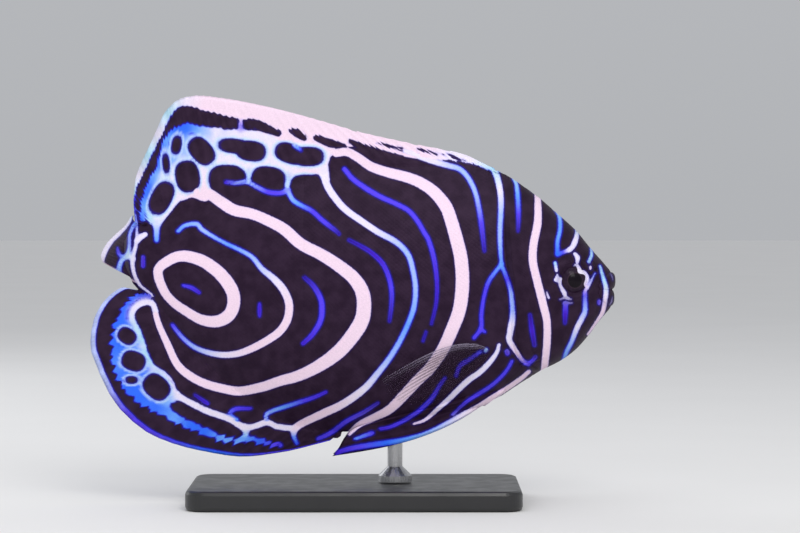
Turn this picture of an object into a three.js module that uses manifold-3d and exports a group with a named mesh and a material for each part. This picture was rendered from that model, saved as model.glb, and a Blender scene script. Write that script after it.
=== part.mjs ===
// A young emperor angelfish at life size, held level on a plain display stand, in millimetres.
// +X is where the fish looks, +Y its left side and +Z up. The origin is the middle of the underside
// of the base. The fish lies in the plane y = 0, apart from its tail, which swings to its left.

import * as THREE from "three";
import { mergeVertices } from "three/addons/utils/BufferGeometryUtils.js";
import Module from "manifold-3d";

const wasm = await Module();
wasm.setup();

// Distance kept between sub-parts that touch
const GAP = 0.3;

// The flesh seen from the side, as heights of its upper and lower edge along x
const BACK = [
  [-44, 55.5], [-40, 56], [-35, 58], [-25, 61], [-10, 65.5], [5, 67.5], [19, 67.6], [28.4, 66.2],
  [36, 61.6], [40, 58.2], [44, 54.6], [47, 50.9], [49.5, 47.9], [51.4, 45.4],
];
const BELLY = [
  [-44, 42.6], [-40.5, 41.2], [-37, 37], [-32, 30.6], [-26, 24.3], [-20, 19.5], [-14, 16.2],
  [-8, 14.4], [-2, 14.2], [5, 15.1], [19, 18.2], [25, 20], [29, 22], [33, 24.6], [41, 28.2], [44, 30.6],
  [47, 34], [49, 36.6], [51.4, 40],
];

// Height of the widest level of the flesh, and half its width there, along x
const WIDEST_LEVEL = [[-44, 49.2], [-30, 44.5], [-10, 40], [10, 39.5], [25, 40], [36, 41.5], [51.4, 42.6]];
const HALF_WIDTH = [
  [-44, 2], [-40, 2.3], [-35, 3.1], [-25, 4.9], [-15, 6.5], [-5, 7.7], [5, 8.5], [15, 8.9], [25, 9],
  [32, 8.7], [38, 7.8], [42, 6.9], [45, 5.9], [48, 4.4], [50, 3.1], [51.4, 2],
];

// Half the width of the upper and lower edge of the flesh: broad under a fin, narrow elsewhere
const BACK_EDGE = [[-44, 0.8], [-30, 1], [0, 1.15], [20, 1], [30, 0.6], [40, 0.45], [51.4, 0.4]];
const BELLY_EDGE = [[-44, 0.8], [-20, 1], [-5, 0.9], [1, 0.5], [51.4, 0.4]];

// Roundness of the sections: 1 closes like a blade, 2 like an ellipse
const SECTION_POWER = 2.2;
const BACK_ROUNDNESS = [[-44, 1.4], [-20, 1.15], [10, 1.2], [28, 1.45], [38, 1.8], [51.4, 2]];
const BELLY_ROUNDNESS = [[-44, 1.4], [-20, 1.15], [-4, 1.3], [6, 1.6], [51.4, 2]];

// Where the flesh is divided, as places along x at mid height
const TAIL_END = -44;
const STALK_START = -36;
const GILL_EDGE = 30;
const SNOUT_END = 51.4;

// The tail swings to the left: its heading turns by TAIL_SWING at TAIL_END
const TAIL_SWING = THREE.MathUtils.degToRad(30);

// The hind edge of the gill cover bulges back at mid height and runs forward under the throat
const GILL_BULGE = 1.5;
const GILL_BULGE_LEVEL = -0.12;
const GILL_BULGE_SPAN = 0.4;
const THROAT_REACH = 6.5;
const THROAT_LEVEL = -0.25;
const GILL_FADE = 17;
const GILL_STEP = 0.35;

// Rays of a fin on the midline: [x of the root, x of the tip, z of the tip]
const DORSAL_RAYS = [
  [-41.6, -43.5, 56.4], [-40, -44.1, 60.5], [-38.5, -43.8, 64.6], [-36.5, -41, 71.6],
  [-33.5, -37.3, 79], [-31, -34.5, 81], [-28, -31.5, 81.5], [-20, -26.5, 81], [-10, -18.5, 79.5],
  [0, -9, 77.1], [10, 2, 74], [19, 13, 71.6], [24, 21, 70], [28.2, 27, 67.3],
];
const ANAL_RAYS = [
  [-42.5, -43.8, 42.1], [-41.4, -46.6, 43.1], [-40.2, -50, 39.8], [-38.8, -52.4, 36],
  [-37, -53, 32], [-34.5, -51.2, 26], [-31, -47.2, 18.9], [-26, -40, 13.2], [-20, -31, 10.4],
  [-14, -22.5, 9.2], [-8, -14.5, 10.1], [-3, -5, 12.4],
];
const DORSAL_SPINES = 14;
const DORSAL_SOFT_RAYS = 20;
const ANAL_SPINES = 3;
const ANAL_SOFT_RAYS = 19;
const MEDIAN_FIN_ROWS = 5;
const SPINE_TIP_FREE = 0.16;
const SOFT_TIP_FREE = 0.03;

// Fin membranes thin out towards their margin, and a ray stands proud of them on both faces
const MARGIN_HALF = 0.26;
const MEMBRANE_TAPER = 1.6;
const RAY_RIDGE = 0.16;

// The tail fin: [share of its root from the lower end, x, y and z of the tip]
const CAUDAL_RAYS = [
  [0, -51.3, 13.6, 47.4], [0.25, -52, 14.8, 49.3], [0.5, -50.8, 15.6, 51.9],
  [0.75, -48.3, 16, 54.7], [1, -45.5, 15.6, 57.9],
];
const CAUDAL_ROOT = [43.2, 55.2];
const CAUDAL_ROOT_HALF = 1.2;
const CAUDAL_RAY_COUNT = 17;
const CAUDAL_ROWS = 6;
const CAUDAL_BOW = 0.45;

// The breast fin: its root on the flank, and [share from the upper ray, x and z of the tip]
const PECTORAL_ROOT = [[26.4, 31.2], [25, 27.8]];
const PECTORAL_RAYS = [[0, 5.4, 25.4], [0.3, 6, 22.9], [0.6, 8.8, 20.7], [1, 14.8, 19.6]];
const PECTORAL_RAY_COUNT = 19;
const PECTORAL_ROOT_HALF = 0.6;
const PECTORAL_STAND_OFF = [0.9, 3.2];

// The belly fin: its root beside the keel, and [share from the leading ray, x and z of the tip]
const PELVIC_ROOT = [[26.4, 20.2], [22.4, 20.8]];
const PELVIC_RAYS = [[0, -4.4, 9.8], [0.2, -1.5, 11.4], [0.45, 4, 13.6], [0.7, 9.5, 15.8], [1, 15.5, 18]];
const PELVIC_RAY_COUNT = 6;
const PELVIC_ROOT_HALF = 0.9;
const PELVIC_BOW = 2.2;
const PELVIC_BOW_LEAN = 0.7;
const PELVIC_STAND_OFF = [0.5, 0.9];
const PELVIC_LEAST_Y = 2.3;

const PAIRED_FIN_ROWS = 6;
const ROOT_SINK = 1.5;

// The eye, a flattened ball in a socket
const EYE = { x: 43.6, y: 4.7, z: 44, radius: 3.3, halfDepth: 2.3 };

// The mouth: each lip runs from corner to corner round the front, [x, y, z] on the right half
const UPPER_LIP = [[49.4, -2.9, 42], [50.8, -2, 43.2], [51.35, 0, 43.8]];
const LOWER_LIP = [[49.4, -2.9, 41.4], [50.6, -1.9, 40.9], [51.1, 0, 40.9]];
const MOUTH_LINE = [[48.8, -4, 41.5], [51.1, -2.7, 42.1], [52.4, 0, 42.4]];
const LIP_RADIUS = [0.45, 1];
const MOUTH_RADIUS = [0.3, 0.42];

// Two nostrils a side, ahead of the eye, as [x, z], and the spine at the lower corner of the cheek
const NOSTRILS = [[47.9, 46.8], [46.9, 48.2]];
const NOSTRIL_RADIUS = [0.4, 0.5];
const CHEEK_SPINE = { root: [37.6, 30.4], tip: [32.9, 27.7], radius: [1, 0.25], standOff: [-0.7, 0.75] };

// The stand: a flat base and one rod up to the belly
const BASE = { length: 66, width: 38, height: 4, corner: 4, bevel: 0.8 };
const ROD = { x: 8, radius: 1.5, collarRadius: 3.4, collarHeight: 1.2, shoulder: 3, top: 22 };

// Material of each sub-part
const SKIN = { color: 0x2d1e30, roughness: 0.4, metalness: 0 };
const FIN = { color: 0x3a2c5a, roughness: 0.4, metalness: 0 };
const CLEAR_FIN = { color: 0x8f8aa0, roughness: 0.35, metalness: 0 };
const EYE_BALL = { color: 0x0a0810, roughness: 0.08, metalness: 0 };
const STAND_BASE = { color: 0x1c1c1e, roughness: 0.35, metalness: 0 };
const STAND_ROD = { color: 0xb8b8ba, roughness: 0.3, metalness: 1 };

// A smooth curve through [x, y] pairs of rising x, without overshoot between them
function profile(pairs) {
  const last = pairs.length - 1;
  const slopes = pairs.slice(1).map(([x, y], i) => (y - pairs[i][1]) / (x - pairs[i][0]));
  const tangents = pairs.map((_, i) => {
    if (i === 0) return slopes[0];
    if (i === last) return slopes[last - 1];
    const [before, after] = [slopes[i - 1], slopes[i]];
    return before * after <= 0 ? 0 : (2 * before * after) / (before + after);
  });
  return (x) => {
    const held = THREE.MathUtils.clamp(x, pairs[0][0], pairs[last][0]);
    const i = Math.max(0, Math.min(last - 1, pairs.findLastIndex((p) => p[0] <= held)));
    const [x0, y0] = pairs[i];
    const [x1, y1] = pairs[i + 1];
    const span = x1 - x0;
    const t = (held - x0) / span;
    const rise = t * t * (3 - 2 * t);
    const lead = t * (1 - t) * (1 - t) * tangents[i] - t * t * (1 - t) * tangents[i + 1];
    return y0 + (y1 - y0) * rise + span * lead;
  };
}

// The column of a table over its first column, as a smooth curve
const column = (rows, index) => profile(rows.map((row) => [row[0], row[index]]));

const back = profile(BACK);
const belly = profile(BELLY);
const widestLevel = profile(WIDEST_LEVEL);
const halfWidth = profile(HALF_WIDTH);
const backEdge = profile(BACK_EDGE);
const bellyEdge = profile(BELLY_EDGE);
const backRoundness = profile(BACK_ROUNDNESS);
const bellyRoundness = profile(BELLY_ROUNDNESS);

// The line that the flesh follows seen from above, with the direction square to it on the right
function axis(x) {
  const past = Math.max(0, STALK_START - x);
  const length = STALK_START - TAIL_END;
  const turn = TAIL_SWING / (length * length);
  const heading = turn * past * past;
  return {
    x: x + (turn * turn * past ** 5) / 10,
    y: (turn * past ** 3) / 3,
    right: new THREE.Vector3(-Math.sin(heading), -Math.cos(heading), 0),
  };
}

// Half the thickness of the flesh at x, where level runs from -1 at the belly to 1 at the back
function fleshHalf(x, level) {
  const edge = level >= 0 ? backEdge(x) : bellyEdge(x);
  const roundness = level >= 0 ? backRoundness(x) : bellyRoundness(x);
  const swell = (1 - Math.abs(level) ** SECTION_POWER) ** (1 / roundness);
  return edge + (halfWidth(x) - edge) * swell;
}

// How high a place of the flesh is, and the level at a height
function heightAt(x, level, grow = 0) {
  const middle = widestLevel(x);
  const reach = level >= 0 ? back(x) + grow - middle : middle - belly(x) + grow;
  return middle + level * reach;
}
function levelAt(x, z) {
  const middle = widestLevel(x);
  const reach = z >= middle ? back(x) - middle : middle - belly(x);
  return THREE.MathUtils.clamp((z - middle) / reach, -1, 1);
}

// Half the thickness of the flesh at a place seen from the side
const flankHalf = (x, z) => fleshHalf(x, levelAt(x, z));

// How far the edge of the gill cover runs from a straight upright line
function gillBend(level) {
  const bulge = GILL_BULGE * Math.exp(-(((level - GILL_BULGE_LEVEL) / GILL_BULGE_SPAN) ** 2));
  const under = Math.max(0, (THROAT_LEVEL - level) / (1 + THROAT_LEVEL));
  return bulge + THROAT_REACH * under ** 1.6;
}

// A point of the flesh on one side (1 right, -1 left), on the line that crosses mid height at station
function fleshPoint(station, level, side, grow = 0) {
  const near = 1 - THREE.MathUtils.smoothstep(Math.abs(station - GILL_EDGE), 0, GILL_FADE);
  const x = station + near * gillBend(level);
  const line = axis(x);
  const half = fleshHalf(x, level) + grow;
  return new THREE.Vector3(line.x, line.y, heightAt(x, level, grow)).addScaledVector(line.right, side * half);
}

// A closed BufferGeometry from points and triangles, with shared points merged and faces out
function closedGeometry(points, triangles) {
  const loose = new THREE.BufferGeometry();
  loose.setAttribute("position", new THREE.Float32BufferAttribute(points.flatMap((p) => [p.x, p.y, p.z]), 3));
  loose.setIndex(triangles.flat());
  const merged = mergeVertices(loose, 1e-4);
  const index = Array.from(merged.index.array);
  const corners = [];
  for (let i = 0; i < index.length; i += 3) {
    const [a, b, c] = index.slice(i, i + 3);
    if (a !== b && b !== c && a !== c) corners.push([a, b, c]);
  }
  const at = (i) => new THREE.Vector3().fromBufferAttribute(merged.attributes.position, i);
  const volume = corners.reduce((sum, [a, b, c]) => sum + at(a).dot(at(b).cross(at(c))), 0);
  merged.setIndex(volume >= 0 ? corners.flat() : corners.flatMap(([a, b, c]) => [a, c, b]));
  return merged;
}

// A closed solid between two faces that are grids of points, split alike and joined along their rims
function solidBetween(faceA, faceB) {
  const columns = faceA.length;
  const rows = faceA[0].length;
  const points = [...faceA.flat(), ...faceB.flat()];
  const a = (i, j) => i * rows + j;
  const b = (i, j) => columns * rows + a(i, j);
  const triangles = [];
  for (let i = 0; i < columns - 1; i++) {
    for (let j = 0; j < rows - 1; j++) {
      triangles.push([a(i, j), a(i + 1, j), a(i + 1, j + 1)], [a(i, j), a(i + 1, j + 1), a(i, j + 1)]);
      triangles.push([b(i, j), b(i + 1, j + 1), b(i + 1, j)], [b(i, j), b(i, j + 1), b(i + 1, j + 1)]);
    }
  }
  const rim = (i0, j0, i1, j1) => {
    triangles.push([a(i0, j0), b(i1, j1), a(i1, j1)], [a(i0, j0), b(i0, j0), b(i1, j1)]);
  };
  for (let i = 0; i < columns - 1; i++) {
    rim(i, 0, i + 1, 0);
    rim(i + 1, rows - 1, i, rows - 1);
  }
  for (let j = 0; j < rows - 1; j++) {
    rim(0, j + 1, 0, j);
    rim(columns - 1, j, columns - 1, j + 1);
  }
  return closedGeometry(points, triangles);
}

// Evenly spaced numbers from first to last
const steps = (first, last, count) => Array.from({ length: count }, (_, i) => first + ((last - first) * i) / (count - 1));

// Stretch of flesh between two stations; grow makes a larger copy that trims what stands on it
const LEVELS = steps(-Math.PI / 2, Math.PI / 2, 21).map(Math.sin);
function flesh(first, last, count, grow = 0, swellLast = 0) {
  const stations = steps(first, last, count);
  const face = (side) =>
    stations.map((station, i) =>
      LEVELS.map((level) => fleshPoint(station, level, side, grow + (i === 0 ? swellLast : 0) * (1 - level ** 2))),
    );
  return solidBetween(face(1), face(-1));
}

// A solid of the boolean library from a closed geometry, and back
function solidOf(geometry) {
  const bare = new THREE.BufferGeometry();
  bare.setAttribute("position", geometry.attributes.position);
  bare.setIndex(geometry.index);
  const merged = mergeVertices(bare, 1e-4);
  return new wasm.Manifold(
    new wasm.Mesh({
      numProp: 3,
      vertProperties: merged.attributes.position.array,
      triVerts: new Uint32Array(merged.index.array),
    }),
  );
}
function geometryOf(solid) {
  const largest = solid.decompose().reduce((a, b) => (a.volume() >= b.volume() ? a : b));
  const mesh = largest.getMesh();
  const geometry = new THREE.BufferGeometry();
  geometry.setAttribute("position", new THREE.BufferAttribute(mesh.vertProperties, mesh.numProp));
  geometry.setIndex(new THREE.BufferAttribute(mesh.triVerts, 1));
  return geometry;
}

// A round tube along a smooth path, its radius a function of the share of the path, with flat ends
function taperedTube(path, radiusAt, segments, sides) {
  const curve = new THREE.CatmullRomCurve3(path);
  const frames = curve.computeFrenetFrames(segments);
  const points = [];
  const triangles = [];
  steps(0, 1, segments + 1).forEach((t, i) => {
    for (let k = 0; k < sides; k++) {
      const angle = (2 * Math.PI * k) / sides;
      const out = frames.normals[i].clone().multiplyScalar(Math.cos(angle));
      out.addScaledVector(frames.binormals[i], Math.sin(angle));
      points.push(curve.getPointAt(t).addScaledVector(out, radiusAt(t)));
    }
  });
  const ring = (i, k) => i * sides + (k % sides);
  for (let i = 0; i < segments; i++) {
    for (let k = 0; k < sides; k++) {
      triangles.push([ring(i, k), ring(i + 1, k + 1), ring(i + 1, k)]);
      triangles.push([ring(i, k), ring(i, k + 1), ring(i + 1, k + 1)]);
    }
  }
  for (let k = 1; k < sides - 1; k++) {
    triangles.push([ring(0, 0), ring(0, k + 1), ring(0, k)]);
    triangles.push([ring(segments, 0), ring(segments, k), ring(segments, k + 1)]);
  }
  return closedGeometry(points, triangles);
}

// An ellipsoid round a centre
function ellipsoid(centre, radii, around, down) {
  return mergeVertices(
    new THREE.SphereGeometry(1, around, down)
      .deleteAttribute("normal")
      .deleteAttribute("uv")
      .scale(...radii)
      .translate(...centre),
    1e-4,
  );
}

// A path that runs along its given right half and back along the mirrored left half
function bothSides(rightHalf) {
  const right = rightHalf.map((p) => new THREE.Vector3(...p));
  const left = right.slice(0, -1).reverse();
  return [...right, ...left.map((p) => new THREE.Vector3(p.x, -p.y, p.z))];
}

// Radius of a lip or of the mouth line: small at the corners and full at the front
const lipRadius = ([corner, front]) => (t) => corner + (front - corner) * Math.sin(Math.PI * t);

// The head: flesh, lips and cheek spines, with the eye sockets, mouth line and nostrils cut in
function headGeometry() {
  let head = solidOf(flesh(GILL_EDGE + GAP / 2, SNOUT_END, 18, 0, GILL_STEP));
  head = head.add(solidOf(taperedTube(bothSides(UPPER_LIP), lipRadius(LIP_RADIUS), 16, 8)));
  head = head.add(solidOf(taperedTube(bothSides(LOWER_LIP), lipRadius(LIP_RADIUS), 16, 8)));
  for (const side of [1, -1]) {
    head = head.add(solidOf(cheekSpine(side)));
    head = head.subtract(solidOf(eyeBall(side, GAP)));
    NOSTRILS.forEach(([x, z], i) => {
      const radius = NOSTRIL_RADIUS[i];
      const pit = ellipsoid([x, -side * flankHalf(x, z), z], [radius, radius, radius], 8, 6);
      head = head.subtract(solidOf(pit));
    });
  }
  head = head.subtract(solidOf(taperedTube(bothSides(MOUTH_LINE), lipRadius(MOUTH_RADIUS), 16, 6)));
  return geometryOf(head);
}

// The spine at the corner of a cheek points back over the gill opening, clear of the flank
function cheekSpine(side) {
  const { root, tip, radius, standOff } = CHEEK_SPINE;
  const along = (t) => {
    const x = THREE.MathUtils.lerp(root[0], tip[0], t);
    const z = THREE.MathUtils.lerp(root[1], tip[1], t);
    const y = flankHalf(x, z) + THREE.MathUtils.lerp(standOff[0], standOff[1], t);
    return new THREE.Vector3(x, -side * y, z);
  };
  return taperedTube(steps(0, 1, 4).map(along), (t) => THREE.MathUtils.lerp(radius[0], radius[1], t), 5, 6);
}

function eyeBall(side, grow = 0) {
  const { x, y, z, radius, halfDepth } = EYE;
  return ellipsoid([x, -side * y, z], [radius + grow, halfDepth + grow, radius + grow], 18, 12);
}

// A fin as one closed sheet. Columns run across its rays and rows along them; an odd column is a ray,
// which stands proud of the membrane and reaches a little past it. Its faces lie either side of the
// centre sheet, square to it or along the direction that facing gives.
function finSheet({ rays, rows, centre, rootHalf, tipFree, facing }) {
  const shares = steps(0, 1, 2 * rays + 1);
  const isRay = (i) => i % 2 === 1;
  const reach = (i) => (isRay(i) ? 1 : 1 - tipFree(shares[i]));
  const middle = shares.map((share, i) => steps(0, 1, rows).map((along) => centre(share, along * reach(i))));
  const half = (i, j) => {
    const along = j / (rows - 1);
    const membrane = THREE.MathUtils.lerp(MARGIN_HALF, rootHalf(shares[i]), (1 - along) ** MEMBRANE_TAPER);
    const rise = isRay(i) ? RAY_RIDGE * Math.sin(Math.PI * (0.1 + 0.8 * along)) : 0;
    return membrane + rise;
  };
  const normal = (i, j) => {
    if (facing) return facing(shares[i]);
    const [i0, i1] = [Math.max(0, i - 1), Math.min(middle.length - 1, i + 1)];
    const [j0, j1] = [Math.max(0, j - 1), Math.min(rows - 1, j + 1)];
    const across = middle[i1][j].clone().sub(middle[i0][j]);
    const along = middle[i][j1].clone().sub(middle[i][j0]);
    return across.cross(along).normalize();
  };
  const face = (sign) =>
    middle.map((line, i) => line.map((p, j) => p.clone().addScaledVector(normal(i, j), sign * half(i, j))));
  return solidBetween(face(1), face(-1));
}

// A fin on the midline, standing on the back (up = 1) or hanging from the belly (up = -1)
function medianFin(table, edgeLine, edgeHalf, up, spines, softRays) {
  const rays = spines + softRays;
  const tipX = column(table, 1);
  const tipZ = column(table, 2);
  const [hind, front] = [table[0][0], table.at(-1)[0]];
  const rootX = (share) => THREE.MathUtils.lerp(front, hind, share);
  const centre = (share, along) => {
    const x = rootX(share);
    const line = axis(x);
    const root = new THREE.Vector3(line.x, line.y, edgeLine(x) + up * GAP);
    return root.lerp(new THREE.Vector3(tipX(x), line.y, tipZ(x)), along);
  };
  return finSheet({
    rays,
    rows: MEDIAN_FIN_ROWS,
    centre,
    rootHalf: (share) => edgeHalf(rootX(share)),
    tipFree: (share) => (share < spines / rays ? SPINE_TIP_FREE : SOFT_TIP_FREE),
    facing: (share) => axis(rootX(share)).right,
  });
}

// The tail fin fans from the end of the stalk and swings round to the left
function caudalFin() {
  const tip = [1, 2, 3].map((index) => column(CAUDAL_RAYS, index));
  const line = axis(TAIL_END);
  const heading = new THREE.Vector3(-Math.cos(TAIL_SWING), Math.sin(TAIL_SWING), 0);
  const centre = (share, along) => {
    const root = new THREE.Vector3(line.x, line.y, THREE.MathUtils.lerp(...CAUDAL_ROOT, share));
    root.addScaledVector(heading, GAP);
    const end = new THREE.Vector3(...tip.map((of) => of(share)));
    const bow = root.clone().addScaledVector(heading, CAUDAL_BOW * root.distanceTo(end));
    bow.z = (root.z + end.z) / 2;
    return new THREE.QuadraticBezierCurve3(root, bow, end).getPoint(along);
  };
  return finSheet({
    rays: CAUDAL_RAY_COUNT,
    rows: CAUDAL_ROWS,
    centre,
    rootHalf: (share) => THREE.MathUtils.lerp(backEdge(TAIL_END), CAUDAL_ROOT_HALF, Math.sin(Math.PI * share)),
    tipFree: () => SOFT_TIP_FREE,
  });
}

// A paired fin that lies along the flank: sunk at its root, then trimmed to the flesh with a gap
function pairedFin({ side, root, table, rays, rootHalf, standOff, leastY = 0, bow = 0, bowLean = 1, flank }) {
  const tipX = column(table, 1);
  const tipZ = column(table, 2);
  const centre = (share, along) => {
    const x = THREE.MathUtils.lerp(THREE.MathUtils.lerp(root[0][0], root[1][0], share), tipX(share), along);
    const straight = THREE.MathUtils.lerp(THREE.MathUtils.lerp(root[0][1], root[1][1], share), tipZ(share), along);
    const z = straight - bow * (1 - share) * Math.sin(Math.PI * along ** bowLean);
    const sunk = ROOT_SINK * Math.max(0, 1 - along * PAIRED_FIN_ROWS);
    const out = THREE.MathUtils.lerp(standOff[0], standOff[1], along) - sunk;
    const clear = z > belly(x) ? flankHalf(x, z) : 0;
    return new THREE.Vector3(x, -side * Math.max(clear + out, leastY), z);
  };
  const sheet = finSheet({
    rays,
    rows: PAIRED_FIN_ROWS + 1,
    centre,
    rootHalf: () => rootHalf,
    tipFree: () => SOFT_TIP_FREE,
  });
  return geometryOf(solidOf(sheet).subtract(flank));
}

// The base: a flat plate with rounded corners and a bevelled rim
function standBase() {
  const { length, width, height, corner, bevel } = BASE;
  const [x, y] = [length / 2 - bevel, width / 2 - bevel];
  const radius = corner - bevel;
  const outline = new THREE.Shape();
  outline.moveTo(-x + radius, -y);
  outline.absarc(x - radius, -y + radius, radius, -Math.PI / 2, 0);
  outline.absarc(x - radius, y - radius, radius, 0, Math.PI / 2);
  outline.absarc(-x + radius, y - radius, radius, Math.PI / 2, Math.PI);
  outline.absarc(-x + radius, -y + radius, radius, Math.PI, 1.5 * Math.PI);
  return new THREE.ExtrudeGeometry(outline, {
    depth: height - 2 * bevel,
    bevelThickness: bevel,
    bevelSize: bevel,
    bevelSegments: 2,
    curveSegments: 5,
  }).translate(0, 0, bevel);
}

// The rod: a collar on the base, a slim shaft, and a top cut to the shape of the belly
function standRod(flank) {
  const { x, radius, collarRadius, collarHeight, shoulder, top } = ROD;
  const outline = [
    [0, 0], [collarRadius, 0], [collarRadius, collarHeight], [radius, shoulder], [radius, top], [0, top],
  ].map(([r, h]) => new THREE.Vector2(r, h));
  const rod = new THREE.LatheGeometry(outline, 20);
  rod.deleteAttribute("normal");
  rod.deleteAttribute("uv");
  rod.rotateX(Math.PI / 2).translate(x, 0, BASE.height + GAP);
  return geometryOf(solidOf(rod).subtract(flank));
}

// A named mesh in its own material
function part(name, geometry, finish) {
  const mesh = new THREE.Mesh(geometry, new THREE.MeshStandardMaterial(finish));
  mesh.name = name;
  return mesh;
}

const angelfish = new THREE.Group();
const trunk = flesh(STALK_START + GAP / 2, GILL_EDGE - GAP / 2, 24);
const flank = solidOf(flesh(STALK_START, SNOUT_END, 36, GAP));

angelfish.add(
  part("head", headGeometry(), SKIN),
  part("trunk", trunk, SKIN),
  part("tail_stalk", flesh(TAIL_END, STALK_START - GAP / 2, 5), SKIN),
  part("dorsal_fin", medianFin(DORSAL_RAYS, back, backEdge, 1, DORSAL_SPINES, DORSAL_SOFT_RAYS), FIN),
  part("anal_fin", medianFin(ANAL_RAYS, belly, bellyEdge, -1, ANAL_SPINES, ANAL_SOFT_RAYS), FIN),
  part("caudal_fin", caudalFin(), CLEAR_FIN),
);

for (const [name, side] of [["right", 1], ["left", -1]]) {
  const pectoral = pairedFin({
    side,
    root: PECTORAL_ROOT,
    table: PECTORAL_RAYS,
    rays: PECTORAL_RAY_COUNT,
    rootHalf: PECTORAL_ROOT_HALF,
    standOff: PECTORAL_STAND_OFF,
    flank,
  });
  const pelvic = pairedFin({
    side,
    root: PELVIC_ROOT,
    table: PELVIC_RAYS,
    rays: PELVIC_RAY_COUNT,
    rootHalf: PELVIC_ROOT_HALF,
    standOff: PELVIC_STAND_OFF,
    leastY: PELVIC_LEAST_Y,
    bow: PELVIC_BOW,
    bowLean: PELVIC_BOW_LEAN,
    flank,
  });
  angelfish.add(
    part("pectoral_fin_" + name, pectoral, CLEAR_FIN),
    part("pelvic_fin_" + name, pelvic, FIN),
    part("eye_" + name, eyeBall(side), EYE_BALL),
  );
}

angelfish.add(part("stand_base", standBase(), STAND_BASE), part("stand_rod", standRod(flank), STAND_ROD));

export default angelfish;
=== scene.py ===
"""A young emperor angelfish at life size, held level on a plain display stand.

Sizes are in millimetres and are turned into metres where a mesh is made. +X is where the fish
looks, +Y its left side and +Z up, and z = 0 is the floor under the stand.
"""

import logging
import math
from collections.abc import Callable, Sequence
from dataclasses import dataclass
from enum import Enum
from functools import partial

import bmesh
import bpy
import numpy as np
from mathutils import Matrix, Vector

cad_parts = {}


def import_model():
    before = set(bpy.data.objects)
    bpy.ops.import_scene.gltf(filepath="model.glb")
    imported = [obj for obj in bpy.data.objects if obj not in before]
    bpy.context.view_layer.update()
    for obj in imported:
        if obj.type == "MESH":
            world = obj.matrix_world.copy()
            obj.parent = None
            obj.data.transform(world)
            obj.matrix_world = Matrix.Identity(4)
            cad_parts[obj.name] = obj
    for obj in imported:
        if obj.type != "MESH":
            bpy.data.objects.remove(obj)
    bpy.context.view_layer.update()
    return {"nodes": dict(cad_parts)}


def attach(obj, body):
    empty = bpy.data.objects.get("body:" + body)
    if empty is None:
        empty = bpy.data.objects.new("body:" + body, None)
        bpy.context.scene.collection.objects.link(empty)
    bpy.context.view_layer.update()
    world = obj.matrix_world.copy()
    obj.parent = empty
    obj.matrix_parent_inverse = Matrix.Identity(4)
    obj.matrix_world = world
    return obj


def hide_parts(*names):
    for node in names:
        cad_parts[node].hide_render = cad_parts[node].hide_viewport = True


LOG = logging.getLogger("angelfish")
MM = 0.001
BODY = "root"
SIDES = (("right", 1.0), ("left", -1.0))
ATTRIBUTE_KINDS = {1: ("FLOAT", "value"), 3: ("FLOAT_VECTOR", "vector"), 4: ("FLOAT_COLOR", "color")}
NO_MARGIN = 99.0
BEAD_SHADE = 0.26
BEAD_FADE = (-30, -40)
BEAD_BAND = (4, 1)
LEFT_SHIFT = ((0.5, 7, 1.2), (0.4, 8, 0.5))

Array = np.ndarray
Arrays = tuple[Array, ...]
Pair = tuple[float, float]
Triple = tuple[float, float, float]
Object = bpy.types.Object
Material = bpy.types.Material
Socket = bpy.types.NodeSocket


class Profile:
    """A smooth curve through (x, y) pairs of rising x, without overshoot between them."""

    def __init__(self, pairs: Sequence[Pair]) -> None:
        """Fit the curve.

        Args:
            pairs: The (x, y) pairs, in rising x.
        """
        self.x, self.y = np.array(pairs, float).T
        slope = np.diff(self.y) / np.diff(self.x)
        self.tangent = np.zeros(len(self.x))
        self.tangent[0], self.tangent[-1] = slope[0], slope[-1]
        product = slope[:-1] * slope[1:]
        total = np.where(product > 0, slope[:-1] + slope[1:], 1.0)
        self.tangent[1:-1] = np.where(product > 0, 2 * product / total, 0.0)

    def __call__(self, x: Array | float) -> Array:
        """Height of the curve.

        Args:
            x: Where to read it; beyond the ends it keeps the end's height.

        Returns:
            The curve's y for each x.
        """
        held = np.clip(x, self.x[0], self.x[-1])
        i = np.clip(np.searchsorted(self.x, held, side="right") - 1, 0, len(self.x) - 2)
        span = self.x[i + 1] - self.x[i]
        t = (held - self.x[i]) / span
        rise = (self.y[i + 1] - self.y[i]) * t * t * (3 - 2 * t)
        lead = t * (1 - t) ** 2 * self.tangent[i] - t * t * (1 - t) * self.tangent[i + 1]
        return self.y[i] + rise + span * lead


def smoothstep(low: float, high: float, value: Array) -> Array:
    """0 below low, 1 above high and smooth between them."""
    t = np.clip((np.asarray(value, float) - low) / (high - low), 0, 1)
    return t * t * (3 - 2 * t)


def lerp(start: Array | float, end: Array | float, share: Array | float) -> Array:
    """The value at a share of the way from start to end."""
    return start + (end - start) * share


def mesh_object(name: str, points: Array, faces: Array | list) -> Object:
    """Make an object from points in millimetres.

    Args:
        name: Name of the object and its mesh.
        points: (n, 3) places in millimetres.
        faces: Corner indices of each face.

    Returns:
        The new object, linked to the scene.
    """
    mesh = bpy.data.meshes.new(name)
    mesh.from_pydata((np.asarray(points) * MM).tolist(), [], [tuple(map(int, f)) for f in faces])
    mesh.update()
    made = bpy.data.objects.new(name, mesh)
    bpy.context.scene.collection.objects.link(made)
    return made


def close_mesh(made: Object, merge: float = 0.004) -> None:
    """Merge doubles, drop collapsed faces and turn the faces outwards.

    Args:
        made: The object to clean.
        merge: Distance in millimetres within which points are one.
    """
    work = bmesh.new()
    work.from_mesh(made.data)
    bmesh.ops.remove_doubles(work, verts=work.verts, dist=merge * MM)
    bmesh.ops.dissolve_degenerate(work, edges=work.edges, dist=merge * MM / 4)
    loose = [v for v in work.verts if not v.link_faces]
    bmesh.ops.delete(work, geom=loose, context="VERTS")
    bmesh.ops.recalc_face_normals(work, faces=work.faces)
    work.to_mesh(made.data)
    work.free()
    made.data.shade_smooth()


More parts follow.
